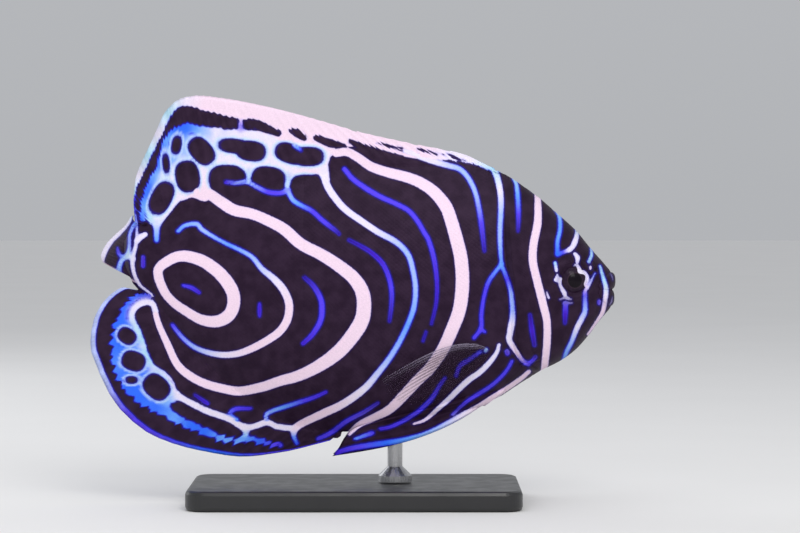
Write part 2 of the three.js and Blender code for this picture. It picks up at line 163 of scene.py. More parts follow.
def read_all(items: bpy.types.bpy_prop_collection, key: str, width: int, kind: type = np.float32) -> Array:
    """One property of all items, as (n, width) values.

    Args:
        items: The items.
        key: Name of the property.
        width: Values of each item.
        kind: Their type.

    Returns:
        The values.
    """
    flat = np.empty(len(items) * width, kind)
    items.foreach_get(key, flat)
    return flat.reshape(-1, width)


def places(mesh: bpy.types.Mesh) -> Array:
    """The vertices of a mesh as (n, 3) places in millimetres."""
    return read_all(mesh.vertices, "co", 3, float) / MM


def set_attribute(mesh: bpy.types.Mesh, name: str, values: Array) -> None:
    """Store a number, a vector or a colour on each vertex.

    Args:
        mesh: The mesh.
        name: Attribute name.
        values: (n,) numbers, (n, 3) vectors or (n, 4) linear colours.
    """
    kind, key = ATTRIBUTE_KINDS[values.size // len(values)]
    made = mesh.attributes.new(name, kind, "POINT")
    made.data.foreach_set(key, values.astype(np.float32).ravel())


def two_sheets(columns: int, rows: int) -> Array:
    """Quads of two grids of points, one after the other, that look away from each other."""
    return np.vstack([grid_faces(columns, rows), grid_faces(columns, rows, columns * rows)[:, ::-1]])


def grid_faces(columns: int, rows: int, first: int = 0) -> Array:
    """Quads of a grid of points numbered column by column, starting at first."""
    corner = first + np.arange(columns - 1)[:, None] * rows + np.arange(rows - 1)[None, :]
    return np.stack([corner, corner + rows, corner + rows + 1, corner + 1], -1).reshape(-1, 4)


def unit(vectors: Array) -> Array:
    """Vectors scaled to length 1."""
    return vectors / np.linalg.norm(vectors, axis=-1, keepdims=True)


def hill(value: Array, middle: float, width: float) -> Array:
    """A smooth hill of height 1 at the middle."""
    return np.exp(-(((value - middle) / width) ** 2))


def wave(turns: Array) -> Array:
    """A wave from 0 to 1 with its crest at each whole number."""
    return 0.5 + 0.5 * np.cos(2 * np.pi * turns)


@dataclass(frozen=True)
class Finned:
    """Rays of a fin on the midline.

    Each row of rays gives the x of the root, the x of the tip and the z of the tip. fray is how far
    the markings are frayed by streaks across the rays, which fade over fray_depth from the margin.
    """

    rays: tuple[Triple, ...]
    spines: int
    soft_rays: int
    fray: float
    fray_step: float
    fray_depth: Pair = (4.5, 7.5)
    fray_least: float = 0.1

    @property
    def hind(self) -> float:
        """The x of the last ray's root."""
        return self.rays[0][0]

    @property
    def front(self) -> float:
        """The x of the first ray's root."""
        return self.rays[-1][0]

    @property
    def count(self) -> int:
        """All rays, stiff and soft."""
        return self.spines + self.soft_rays

    def tip(self, root: Array) -> Arrays:
        """The x and z of the tip of the ray that starts at each root.

        Args:
            root: The x of each root.

        Returns:
            The x and z of each tip.
        """
        xs = Profile([(r[0], r[1]) for r in self.rays])
        zs = Profile([(r[0], r[2]) for r in self.rays])
        return xs(root), zs(root)

    def run(self, root: Array) -> Array:
        """Distance along the fin's margin at the tip of the ray that starts at each root.

        Args:
            root: The x of each root.

        Returns:
            The distance in millimetres.
        """
        roots = np.linspace(self.hind, self.front, 600)
        steps = np.hypot(*(np.diff(line) for line in self.tip(roots)))
        return np.interp(root, roots, np.concatenate([[0], np.cumsum(steps)]))

    def phase(self, root: Array) -> Array:
        """Number of rays passed since the front; a ray's crest is at each whole number."""
        return (self.front - root) / (self.front - self.hind) * self.count - 0.5

    def streak(self, root: Array, depth: Array) -> Array:
        """Streaks across the rays.

        Args:
            root: The x of each ray's root.
            depth: Distance to the fin's margin along it.

        Returns:
            Their rise and fall in millimetres.
        """
        run = self.run(root)
        saw = np.abs((run / self.fray_step) % 1 - 0.5) * 4 - 1
        uneven = np.sin(run * 4.9 + 2 * np.sin(run * 0.9)) + np.sin(run * 1.7)
        strength = lerp(self.fray_least, 1, 1 - smoothstep(*self.fray_depth, depth))
        return self.fray * (0.7 * saw + 0.35 * uneven) * strength


@dataclass(frozen=True)
class Viewpoint:
    """Where the camera stands before the right flank, in millimetres."""

    target: Triple = (9, 0, 47.3)
    distance: float = 600
    elevation: float = math.radians(1.5)

    @property
    def back(self) -> Array:
        """The direction from the target to the camera."""
        return np.array([0, -math.cos(self.elevation), math.sin(self.elevation)])

    def project(self, x: Array, y: Array, z: Array) -> Arrays:
        """The x and z at which the camera shows a place, on the plane through the target.

        Args:
            x: The x of each place.
            y: Its y.
            z: Its z.

        Returns:
            The x and z at which it is seen.
        """
        rise = z - self.target[2]
        depth = y * math.cos(self.elevation) - rise * math.sin(self.elevation)
        scale = self.distance / (self.distance + depth)
        up = y * math.sin(self.elevation) + rise * math.cos(self.elevation)
        return self.target[0] + (x - self.target[0]) * scale, self.target[2] + up * scale


VIEW = Viewpoint()


@dataclass(frozen=True)
class Place:
    """Places of the skin: the middle between its two sides, and what stands there.

    kind is 1 on the dorsal fin, -1 on the anal fin and 0 on the flesh; crest is 1 on a ray and 0
    between two; margin is the distance to the fin's margin along a ray, and streak a rise and fall
    in millimetres across the rays that frays what is painted on a fin. beyond is how far the markings
    are carried on in x and z where the skin turns under the throat.
    """

    x: Array
    y: Array
    z: Array
    half: Array
    heading: Array
    kind: Array
    crest: Array
    margin: Array
    streak: Array
    beyond: Arrays

    def side(self, side: float, lift: float = 0.0) -> Array:
        """The (..., 3) places on the right side for 1 and on the left side for -1.

        Args:
            side: 1 for the right side, -1 for the left.
            lift: Distance out of the skin in millimetres.

        Returns:
            The places.
        """
        out = side * (self.half + lift)
        x, y = self.x - np.sin(self.heading) * out, self.y - np.cos(self.heading) * out
        return np.stack([x, y, self.z], -1)

    def seen(self) -> Arrays:
        """The x and z at which the markings are read: where the camera shows the right side's place."""
        x, z = VIEW.project(*np.moveaxis(self.side(1.0), -1, 0))
        return x + self.beyond[0], z + self.beyond[1]


@dataclass(frozen=True)
class Flesh:
    """The shape of the fish without its paired fins, as named curves along x."""

    back: Profile = Profile([
        (-44, 55.5), (-40, 56), (-35, 58), (-25, 61), (-10, 65.5), (5, 67.5), (19, 67.6), (28.4, 66.2),
        (36, 61.6), (40, 58.2), (44, 54.6), (47, 51), (49.3, 48.5), (50.4, 47.2),
    ])
    belly: Profile = Profile([
        (-44, 43.9), (-42.5, 42.6), (-40.5, 41.2), (-37, 37), (-32, 30.6), (-26, 24.3), (-20, 19.5),
        (-14, 16.2), (-8, 14.4), (-2, 14.2), (5, 15.1), (19, 18.1), (25, 19.6), (29, 21.4), (33, 24),
        (37, 26.4), (41, 28.4), (44, 30.6), (47, 34), (49, 36.6), (50.4, 38.2),
    ])
    widest_level: Profile = Profile([
        (-44, 49.2), (-30, 44.5), (-10, 40), (10, 39.5), (25, 40), (36, 41.5), (50.4, 42.6),
    ])
    half_width: Profile = Profile([
        (-44, 2), (-40, 2.3), (-35, 3.1), (-25, 4.9), (-15, 6.5), (-5, 7.7), (5, 8.5), (15, 8.9),
        (25, 9), (32, 8.7), (38, 7.8), (42, 6.9), (45, 5.9), (48, 4.4), (49.6, 3.4), (50.4, 2.8),
    ])
    back_edge: Profile = Profile([(-44, 0.8), (-30, 1), (0, 1.15), (20, 1), (27, 0.8), (30, 0), (50.4, 0)])
    belly_edge: Profile = Profile([(-44, 0.8), (-20, 1), (-7, 0.9), (-2, 0), (50.4, 0)])
    back_roundness: Profile = Profile([(-44, 1.4), (-20, 1.15), (10, 1.2), (28, 1.45), (38, 1.8), (50.4, 2)])
    belly_roundness: Profile = Profile([(-44, 1.4), (-20, 1.15), (-4, 1.3), (6, 1.6), (50.4, 2)])
    section_power: float = 2.2
    fin_fillet: float = 0.3
    most_stretch: float = 2.2
    unroll_steps: int = 33
    unroll_from: Pair = (22, 34)
    slope_reach: float = 0.2
    dorsal: Finned = Finned(
        rays=(
            (-41.6, -44, 55.7), (-40, -44.3, 60.4), (-38.5, -43.9, 64.6), (-36.5, -41, 71.6),
            (-33.5, -37.3, 79), (-31, -34.5, 81), (-28, -31.5, 81.5), (-20, -26.5, 81),
            (-10, -18.5, 79.5), (0, -9, 77.1), (10, 2, 74), (19, 13, 71.6), (24, 21, 70),
            (28.2, 27, 67.3),
        ),
        spines=14,
        soft_rays=20,
        fray=0.28,
        fray_step=1.0,
    )
    anal: Finned = Finned(
        rays=(
            (-42.5, -43.8, 42.3), (-41.5, -46.4, 43.1), (-40.8, -48.4, 42.1), (-40, -50.5, 40),
            (-38.8, -52.4, 36.3), (-37, -53, 32), (-34.5, -51.2, 26), (-31, -47.2, 18.9),
            (-26, -40, 13.2), (-20, -31, 10.4), (-14, -22.5, 9.2), (-8, -14.5, 10.1), (-3, -5, 12.4),
        ),
        spines=3,
        soft_rays=19,
        fray=0.5,
        fray_step=1.9,
    )
    tail_end: float = -44
    stalk_start: float = -36
    gill_edge: float = 30
    snout_end: float = 50.4
    tail_swing: float = math.radians(30)
    gill_bulge: float = 1.5
    gill_bulge_level: float = -0.12
    gill_bulge_span: float = 0.4
    throat_reach: float = 6.5
    throat_level: float = -0.25
    throat_power: float = 1.6
    gill_fade: float = 17
    gill_step: float = 0.34
    gill_run: float = 2.2
    gill_top: Pair = (62, 52)
    slit_depth: float = 0.3
    slit_run: float = 0.9
    cheek_edge: Profile = Profile([(24, 41), (28, 37.4), (31, 35.4), (36, 34.6), (44, 35), (52, 37)])
    cheek_step: float = 0.2
    cheek_round: float = 0.35
    cheek_run: float = 2.5
    cheek_top: Pair = (50, 46)
    relief_from: Pair = (0.05, 0.4)
    fin_margin: float = 0.24
    fin_taper: float = 1.6
    fin_round: float = 0.02
    ray_ridge: float = 0.1
    ray_base: float = 0.4
    ray_from: Pair = (0.12, 0.5)
    branch_step: float = 0.8
    branch_ridge: float = 0.5
    branch_from: Pair = (0.45, 0.8)
    soft_free: float = 0.004
    notches: Profile = Profile([
        (-2, 0.01), (6.6, 0.02), (8.2, 0.06), (9.6, 0.02), (16.6, 0.025), (18, 0.075), (19.4, 0.025),
        (21, 0.03), (22.4, 0.08), (24, 0.02), (28, 0.02),
    ])
    eye: Pair = (43.3, 44.7)
    eye_radius: float = 2.9
    socket_rim: Triple = (0.22, 0.75, 0.55)
    socket_depth: float = 0.6
    socket_edge: Pair = (0.4, -0.5)
    nostrils: tuple[Triple, ...] = ((47.9, 46.8, 0.4), (46.9, 48.2, 0.5))
    nostril_rim: Triple = (0.16, 1.25, 0.4)
    nostril_depth: float = 0.55
    nostril_bowl: float = 0.8

    def axis(self, x: Array) -> Arrays:
        """The line that the flesh follows seen from above.

        Args:
            x: Places along the straight fish.

        Returns:
            Its x, its y and its heading in radians, after the tail's swing to the left.
        """
        past = np.maximum(0, self.stalk_start - np.asarray(x, float))
        turn = self.tail_swing / (self.stalk_start - self.tail_end) ** 2
        return x + turn**2 * past**5 / 10, turn * past**3 / 3, turn * past**2

    def half(self, x: Array, level: Array) -> Array:
        """Half the thickness, where level runs from -1 at the belly to 1 at the back.

        Args:
            x: The x of each place.
            level: Its level.

        Returns:
            Half the thickness in millimetres.
        """
        up = level >= 0
        edge = np.where(up, self.back_edge(x), self.belly_edge(x))
        roundness = np.where(up, self.back_roundness(x), self.belly_roundness(x))
        swell = np.clip(1 - np.abs(level) ** self.section_power, 0, 1) ** (1 / roundness)
        fillet = self.fin_fillet * np.clip(edge, 0, 1)
        swell = swell * (1 + fillet) * swell / np.maximum(swell + fillet, 1e-9)
        return edge + (self.half_width(x) - edge) * swell

    def height(self, x: Array, level: Array) -> Array:
        """Height of a place at a level.

        Args:
            x: The x of each place.
            level: Its level.

        Returns:
            Its z.
        """
        middle = self.widest_level(x)
        reach = np.where(level >= 0, self.back(x) - middle, middle - self.belly(x))
        return middle + level * reach

    def level(self, x: Array, z: Array) -> Array:
        """Level of a place at a height.

        Args:
            x: The x of each place.
            z: Its z.

        Returns:
            Its level, from -1 at the belly to 1 at the back.
        """
        middle = self.widest_level(x)
        reach = np.where(z >= middle, self.back(x) - middle, middle - self.belly(x))
        return np.clip((z - middle) / reach, -1, 1)

    def beyond(self, x: Array, level: Array) -> Arrays:
        """How far the markings are carried on beyond what the camera shows, under head and throat.

        Args:
            x: The x of each place.
            level: Its level.

        Returns:
            The shift of x and z, square to the lower outline, by the skin's length that is seen end on.
        """
        steps = np.sin(np.linspace(0, np.pi / 2, self.unroll_steps))
        section = (1 - steps**self.section_power) ** 0.5
        x, level = np.ravel(x), np.ravel(level)
        drop = (self.widest_level(x) - self.belly(x))[:, None] * np.diff(steps)
        length = np.hypot(self.half_width(x)[:, None] * np.diff(section), drop)
        turned = np.maximum(0, length - self.most_stretch * drop)
        extra = np.hstack([np.zeros((len(x), 1)), np.cumsum(turned, axis=1)])
        at = np.interp(-level, steps, np.arange(float(self.unroll_steps)))
        low = np.minimum(at.astype(int), self.unroll_steps - 2)
        rows = np.arange(len(x))
        extra = lerp(extra[rows, low], extra[rows, low + 1], at - low)
        extra = extra * (level < 0) * smoothstep(*self.unroll_from, x)
        reach = self.slope_reach
        slope = (self.belly(x + reach) - self.belly(x - reach)) / (2 * reach)
        return extra * slope / np.hypot(1, slope), -extra / np.hypot(1, slope)

    def side_half(self, x: Array, z: Array) -> Array:
        """Half the thickness at a place seen from the side."""
        return self.half(x, self.level(x, z))

    def gill_bend(self, level: Array) -> Array:
        """How far the edge of the gill cover runs from a straight upright line.

        Args:
            level: Level of each place.

        Returns:
            The distance forwards in millimetres.
        """
        bulge = self.gill_bulge * hill(level, self.gill_bulge_level, self.gill_bulge_span)
        under = np.maximum(0, (self.throat_level - level) / (1 + self.throat_level))
        return bulge + self.throat_reach * under**self.throat_power

    def ridge(self, fin: Finned, root: Array, along: Array) -> Array:
        """Height of rays and their branches, from 0 between two to 1 on a crest.

        Args:
            fin: The fin.
            root: The x of each ray's root.
            along: Share of the ray.

        Returns:
            The height at each place.
        """
        phase = fin.phase(root)
        branches = self.branch_ridge * wave(fin.run(root) / self.branch_step)
        branches = branches * smoothstep(*self.branch_from, along) * (phase > fin.spines)
        return np.maximum(wave(phase) ** 2, branches)

    def surface(self, station: Array, v: Array) -> Place:
        """Places of the skin.

        Args:
            station: Where the upright line of each place crosses mid height.
            v: -1 to 1 from belly to back; beyond them, the share of a ray of a midline fin.

        Returns:
            The places, as the middle between the two sides and half the thickness there.
        """
        station, v = np.broadcast_arrays(np.asarray(station, float), np.asarray(v, float))
        level = np.clip(v, -1, 1)
        along = np.abs(v) - np.abs(level)
        near = 1 - smoothstep(0, self.gill_fade, np.abs(station - self.gill_edge))
        x = station + near * self.gill_bend(level)
        z = self.height(x, level)
        half = self.half(x, level)
        fleshy = smoothstep(*self.relief_from, np.clip(half / self.half_width(x), 0, 1))
        half = half + self.relief(station, x, z) * fleshy * (along == 0)
        mid_x, mid_y, heading = self.axis(x)
        kind = np.zeros(x.shape, int)
        crest = np.zeros(x.shape)
        margin = np.full(x.shape, NO_MARGIN)
        streak = np.zeros(x.shape)
        for mark, fin, edge_half in ((1, self.dorsal, self.back_edge), (-1, self.anal, self.belly_edge)):
            on = (mark * v > 1) & (station <= fin.front) & (station >= fin.hind)
            root = np.where(on, station, fin.front)
            tip_x, tip_z = fin.tip(root)
            ridge = self.ridge(fin, root, along)
            free = np.where(fin.phase(root) < fin.spines - 0.5, self.notches(root), self.soft_free)
            reach = along * (1 - free * (1 - ridge))
            sheet = lerp(self.fin_margin, edge_half(root), (1 - along) ** self.fin_taper)
            sheet = sheet + self.ray_ridge * (ridge - self.ray_base) * smoothstep(*self.ray_from, along)
            sheet = sheet * np.sqrt(np.clip((1 - along) / self.fin_round, 0, 1))
            depth = np.hypot(tip_x - mid_x, tip_z - z) * (1 - along)
            mid_x = np.where(on, lerp(mid_x, tip_x, reach), mid_x)
            z = np.where(on, lerp(z, tip_z, reach), z)
            half = np.where(on, sheet, half)
            kind = np.where(on, mark, kind)
            crest = np.where(on, ridge, crest)
            margin = np.where(on, depth, margin)
            streak = np.where(on, fin.streak(root, depth), streak)
        half = np.where((along > 0) & (kind == 0), 0.0, half)
        beyond = tuple(shift.reshape(x.shape) for shift in self.beyond(x, level))
        return Place(mid_x, mid_y, z, half, heading, kind, crest, margin, streak, beyond)

    def relief(self, station: Array, x: Array, z: Array) -> Array:
        """How far the skin rises at the gill cover, cheek, eye socket and nostrils.

        Args:
            station: Station of each place.
            x: Its x.
            z: Its z.

        Returns:
            The rise in millimetres, negative in a groove.
        """
        past = station - self.gill_edge
        cover = self.gill_step * hill(np.maximum(0, past), 0, self.gill_run)
        slit = -self.slit_depth * hill(np.maximum(0, -past), 0, self.slit_run)
        rise = np.where(past >= 0, cover, slit) * smoothstep(*self.gill_top, z)
        past = x - self.cheek_edge(z)
        cheek = smoothstep(-self.cheek_round, self.cheek_round, past)
        cheek = cheek * hill(np.maximum(0, past), 0, self.cheek_run)
        rise = rise + self.cheek_step * cheek * smoothstep(*self.cheek_top, z)
        away = np.hypot(x - self.eye[0], z - self.eye[1]) - self.eye_radius
        height, middle, width = self.socket_rim
        rise = rise + height * hill(away, middle, width)
        rise = rise - self.socket_depth * smoothstep(*self.socket_edge, away)
        height, middle, width = self.nostril_rim
        for nostril_x, nostril_z, radius in self.nostrils:
            off = np.hypot(x - nostril_x, z - nostril_z) / radius
            rise = rise + height * hill(off, middle, width)
            rise = rise - self.nostril_depth * hill(off, 0, self.nostril_bowl)
        return rise


class Tone(Enum):
    """Colours of the markings in linear light, each with the strength of its dark blue border."""

    PINK = (0.86, 0.67, 0.81, 0.25)
    WHITE = (0.80, 0.74, 0.90, 0.4)
    PALE = (0.36, 0.50, 0.98, 0.9)
    SKY = (0.14, 0.36, 0.95, 1.0)
    CYAN = (0.42, 0.70, 0.86, 0.8)
    BLUE = (0.03, 0.15, 0.95, 1.0)
    NAVY = (0.015, 0.03, 0.62, 0.8)
    INDIGO = (0.10, 0.055, 0.82, 0.9)
    VIOLET = (0.055, 0.012, 0.52, 0.6)
    PLUM = (0.022, 0.004, 0.26, 0.4)
    GREY = (0.16, 0.13, 0.2, 0.2)
    ROSE = (0.30, 0.16, 0.18, 0.0)

    @property
    def array(self) -> Array:
        """The colour and border strength as an array."""
        return np.array(self.value)


@dataclass(frozen=True)
class Line:
    """One marking line, seen from the side.

    Widths and tones are spread evenly along the path.
    """

    path: tuple[Pair, ...]
    widths: tuple[float, ...]
    tones: tuple[Tone, ...]
    closed: bool = False

    def samples(self, step: float = 0.16) -> Arrays:
        """Points along the smooth line.

        Args:
            step: Distance between points in millimetres.

        Returns:
            (n, 2) places, (n,) half widths and (n, 4) colours with the border's strength.
        """
        knots = np.array(self.path, float)
        if self.closed:
            knots = np.vstack([knots[-1:], knots, knots[:2]])
        else:
            knots = np.vstack([2 * knots[0] - knots[1], knots, 2 * knots[-1] - knots[-2]])
        pieces = []
        for a, b, c, d in zip(knots, knots[1:], knots[2:], knots[3:]):
            count = max(2, int(np.linalg.norm(c - b) / step))
            t = np.linspace(0, 1, count, endpoint=False)[:, None]
            pieces.append(0.5 * (2 * b + (c - a) * t + (2 * a - 5 * b + 4 * c - d) * t**2
                                 + (3 * b - a - 3 * c + d) * t**3))
        pieces.append(knots[-2:-1])
        line = np.vstack(pieces)
        run = np.concatenate([[0], np.cumsum(np.linalg.norm(np.diff(line, axis=0), axis=1))])
        share = run / run[-1]
        half = np.interp(share, np.linspace(0, 1, len(self.widths)), self.widths) / 2
        table = np.array([tone.value for tone in self.tones])
        tones_at = np.linspace(0, 1, len(table))
        colours = np.stack([np.interp(share, tones_at, channel) for channel in table.T], -1)
        return line, half, colours


@dataclass(frozen=True)
class Blotch:
    """A dark oval cell in a pale field: centre, half length, half height and tilt in degrees."""

    x: float
    z: float
    long: float
    tall: float
    tilt: float = 0.0
    fullness: float = 2.5

    def depth(self, x: Array, z: Array) -> Array:
        """Distance inside the oval, negative outside it, in millimetres.

        Args:
            x: The x of each place.
            z: Its z.

        Returns:
            The distance.
        """
        turn = math.radians(self.tilt)
        dx, dz = x - self.x, z - self.z
        along = (dx * math.cos(turn) + dz * math.sin(turn)) / self.long
        across = (-dx * math.sin(turn) + dz * math.cos(turn)) / self.tall
        power = self.fullness
        round_out = (np.abs(along) ** power + np.abs(across) ** power) ** (1 / power)
        return (1 - round_out) * min(self.long, self.tall)


PINK, WHITE, PALE, SKY, CYAN, BLUE, NAVY, INDIGO, VIOLET, PLUM, GREY, ROSE = Tone
RINGS = (
    Line(((-39.4, 46.4), (-37.4, 48.4), (-34.6, 49.4), (-31.2, 48.7), (-28.6, 47.2), (-26.2, 45),
         (-24.5, 42.2), (-24.3, 39.6), (-25.4, 37.4), (-27.8, 36.3), (-30.8, 36.7), (-33.7, 38.3),
         (-36.5, 40.3), (-38.4, 42.8)), (1.9, 2.2, 2.5, 2.6, 2.5, 1.9, 1.7, 1.9), (PINK,), closed=True),
    Line(((-34.4, 43.5), (-32.8, 43.1), (-31.2, 42.1)), (0.5, 0.8, 0.7), (INDIGO, VIOLET)),
    Line(((-35.4, 54.4), (-34, 55.5), (-31.7, 55.8), (-30.6, 54.7), (-28.4, 53.3), (-25.8, 51.9),
         (-22.8, 50.5), (-20.5, 49.1), (-18.6, 46.8), (-16.3, 44.9), (-14.3, 42.6), (-13.2, 39.8),
         (-13.5, 36.8), (-14.9, 34.5), (-17.1, 32.8), (-20, 31.2), (-23, 30), (-26, 29.6), (-29, 30),
         (-31.8, 31), (-34, 32.6), (-35.6, 34.4), (-36.5, 35.6)), (0.8, 1, 0.8, 0.9, 1.1, 1.5, 1.6, 1.6,
         1.5, 1.3, 1.1, 0.9, 0.7), (SKY, PALE, SKY, PALE, WHITE, PINK, PINK, PINK, WHITE, PALE, INDIGO)),
    Line(((-19.1, 39.8), (-19.1, 37.4)), (0.6, 0.8, 0.6), (VIOLET,)),
    Line(((-42.4, 49.2), (-42.4, 47.4)), (0.7, 0.8), (VIOLET,)),
    Line(((-10.1, 45.1), (-8.3, 43.4), (-6.9, 40.9), (-6.6, 38.6), (-7, 36.2), (-8.6, 33.6), (-10.4, 31.9)),
         (0.8, 1, 1.1, 1, 0.8), (PLUM, INDIGO, INDIGO, VIOLET)),
    Line(((-31.4, 62), (-29.4, 61.9), (-26.8, 60.2), (-24.2, 58.6), (-20.6, 57.8), (-17.2, 56.4),
         (-14, 54.6), (-10.8, 51.8), (-6.6, 49.6), (-3.2, 47.4), (-0.4, 45.1), (1.3, 42.6), (1.8, 39.8),
         (1.3, 36.4), (-1, 32.8), (-3.8, 29.8), (-7.6, 27.2), (-11.4, 25.4), (-15, 24.4), (-18.6, 23.2),
         (-22.8, 22.4), (-25.6, 22.7), (-29.8, 23.8), (-33.1, 25.5), (-35.6, 27.8), (-37.6, 32),
         (-39.2, 35.6), (-39.9, 37.9)), (2, 2.3, 2.1, 2.3, 2.3, 2.5, 2.8, 3, 2.8, 2.3, 2, 1.8, 1.7, 1.6,
         1.4, 1.1), (PINK,)),
    Line(((-25.8, 64.2), (-23.8, 64), (-21.6, 64.2), (-19.6, 63.2), (-17.4, 62.2), (-15, 62),
         (-13.4, 62.6)), (0.8, 0.9, 0.9), (VIOLET, PALE, INDIGO, INDIGO)),
    Line(((-12.2, 71.5), (-11.4, 71), (-10.8, 70.5)), (0.7, 0.8, 0.5), (PALE, SKY, INDIGO)),
    Line(((-13.6, 62.8), (-12.4, 60.6), (-10.5, 59.4), (-8.6, 58.4), (-6.6, 56.6), (-3.8, 54.4),
         (-3.2, 53.8)), (1, 1, 0.9, 0.9, 0.7), (PALE, SKY, INDIGO, INDIGO, PLUM)),
    Line(((-1.2, 52.6), (1.3, 51.3), (3.5, 49.9), (5.5, 47.9), (6.7, 45.4), (7.3, 42.6), (7.3, 39.8),
         (6.9, 36.4)), (0.7, 0.9, 0.9, 0.7), (PLUM, VIOLET, INDIGO, PLUM)),
    Line(((-6.6, 66.8), (-5.5, 63.4), (-3.8, 60.8), (-1.8, 58.6), (1, 56.6), (4.6, 54.2), (7.4, 52.7),
         (9.4, 51.2), (10.8, 49.3), (11.6, 46.5), (12.1, 43.2), (11.9, 39.8), (11.1, 37), (9.4, 33.2),
         (7.2, 29.4), (4.6, 26), (1.8, 22.8), (-2.4, 19.8), (-6.6, 17.8), (-10.8, 15.8), (-12.2, 14.7)),
         (1.5, 1.4, 1.3, 1.2, 1.1, 1.1, 1.1, 1.2, 1.5, 1.6, 1.4), (WHITE, WHITE, WHITE, PALE, PALE, SKY,
         PALE, WHITE, PINK, PINK)),
    Line(((-12.2, 14.8), (-12.2, 13.3), (-11.6, 11.9)), (1.2, 0.9, 0.7), (WHITE, SKY, BLUE)),
    Line(((-2.1, 66.8), (-0.4, 64.8), (2.4, 62.8), (5.2, 61.2), (8.3, 59.8), (10.8, 58.4), (12.5, 56.4),
         (13.8, 54.2), (14.7, 52.6), (15.7, 49.3), (16.3, 45.4), (16.4, 42), (16.1, 39.2), (15.3, 35.8)),
         (0.9, 1, 0.9, 0.9, 0.9, 0.7, 0.6), (INDIGO, INDIGO, INDIGO, INDIGO, VIOLET, PLUM)),
    Line(((14.2, 34.2), (13.6, 32.4)), (0.6,), (PLUM,)),
    Line(((-3.8, 70), (-1.6, 70.2), (0.7, 69), (3.2, 67.3), (6.3, 66.2), (10.2, 65.2), (13, 64.1),
         (15.8, 62.2), (18.1, 59.4), (19.2, 56.6), (20.4, 52.4), (21.2, 48.8), (21.5, 44), (21, 39.2),
         (19.8, 35.6), (17.6, 30.8), (15, 27), (12.6, 24.6), (10, 21.8), (7, 18.8), (4, 17.2), (1, 15.8),
         (-1.2, 13.9)), (1.6, 1.8, 2, 2.2, 2.5, 2.6, 2.7, 2.7, 2.6, 2.4, 2.2, 2, 1.5, 0.9), (PINK,)),
    Line(((10.2, 70.4), (13, 69.3), (15.8, 68.3), (18.6, 67.5), (20.9, 66.8), (22.6, 65.1), (24, 62.3),
         (24.8, 58.9), (25.3, 55.6), (25.9, 50.4)), (1.2, 1.2, 1.1, 1, 1, 0.7), (WHITE, WHITE, PALE, PALE,
         INDIGO, PLUM)),
)
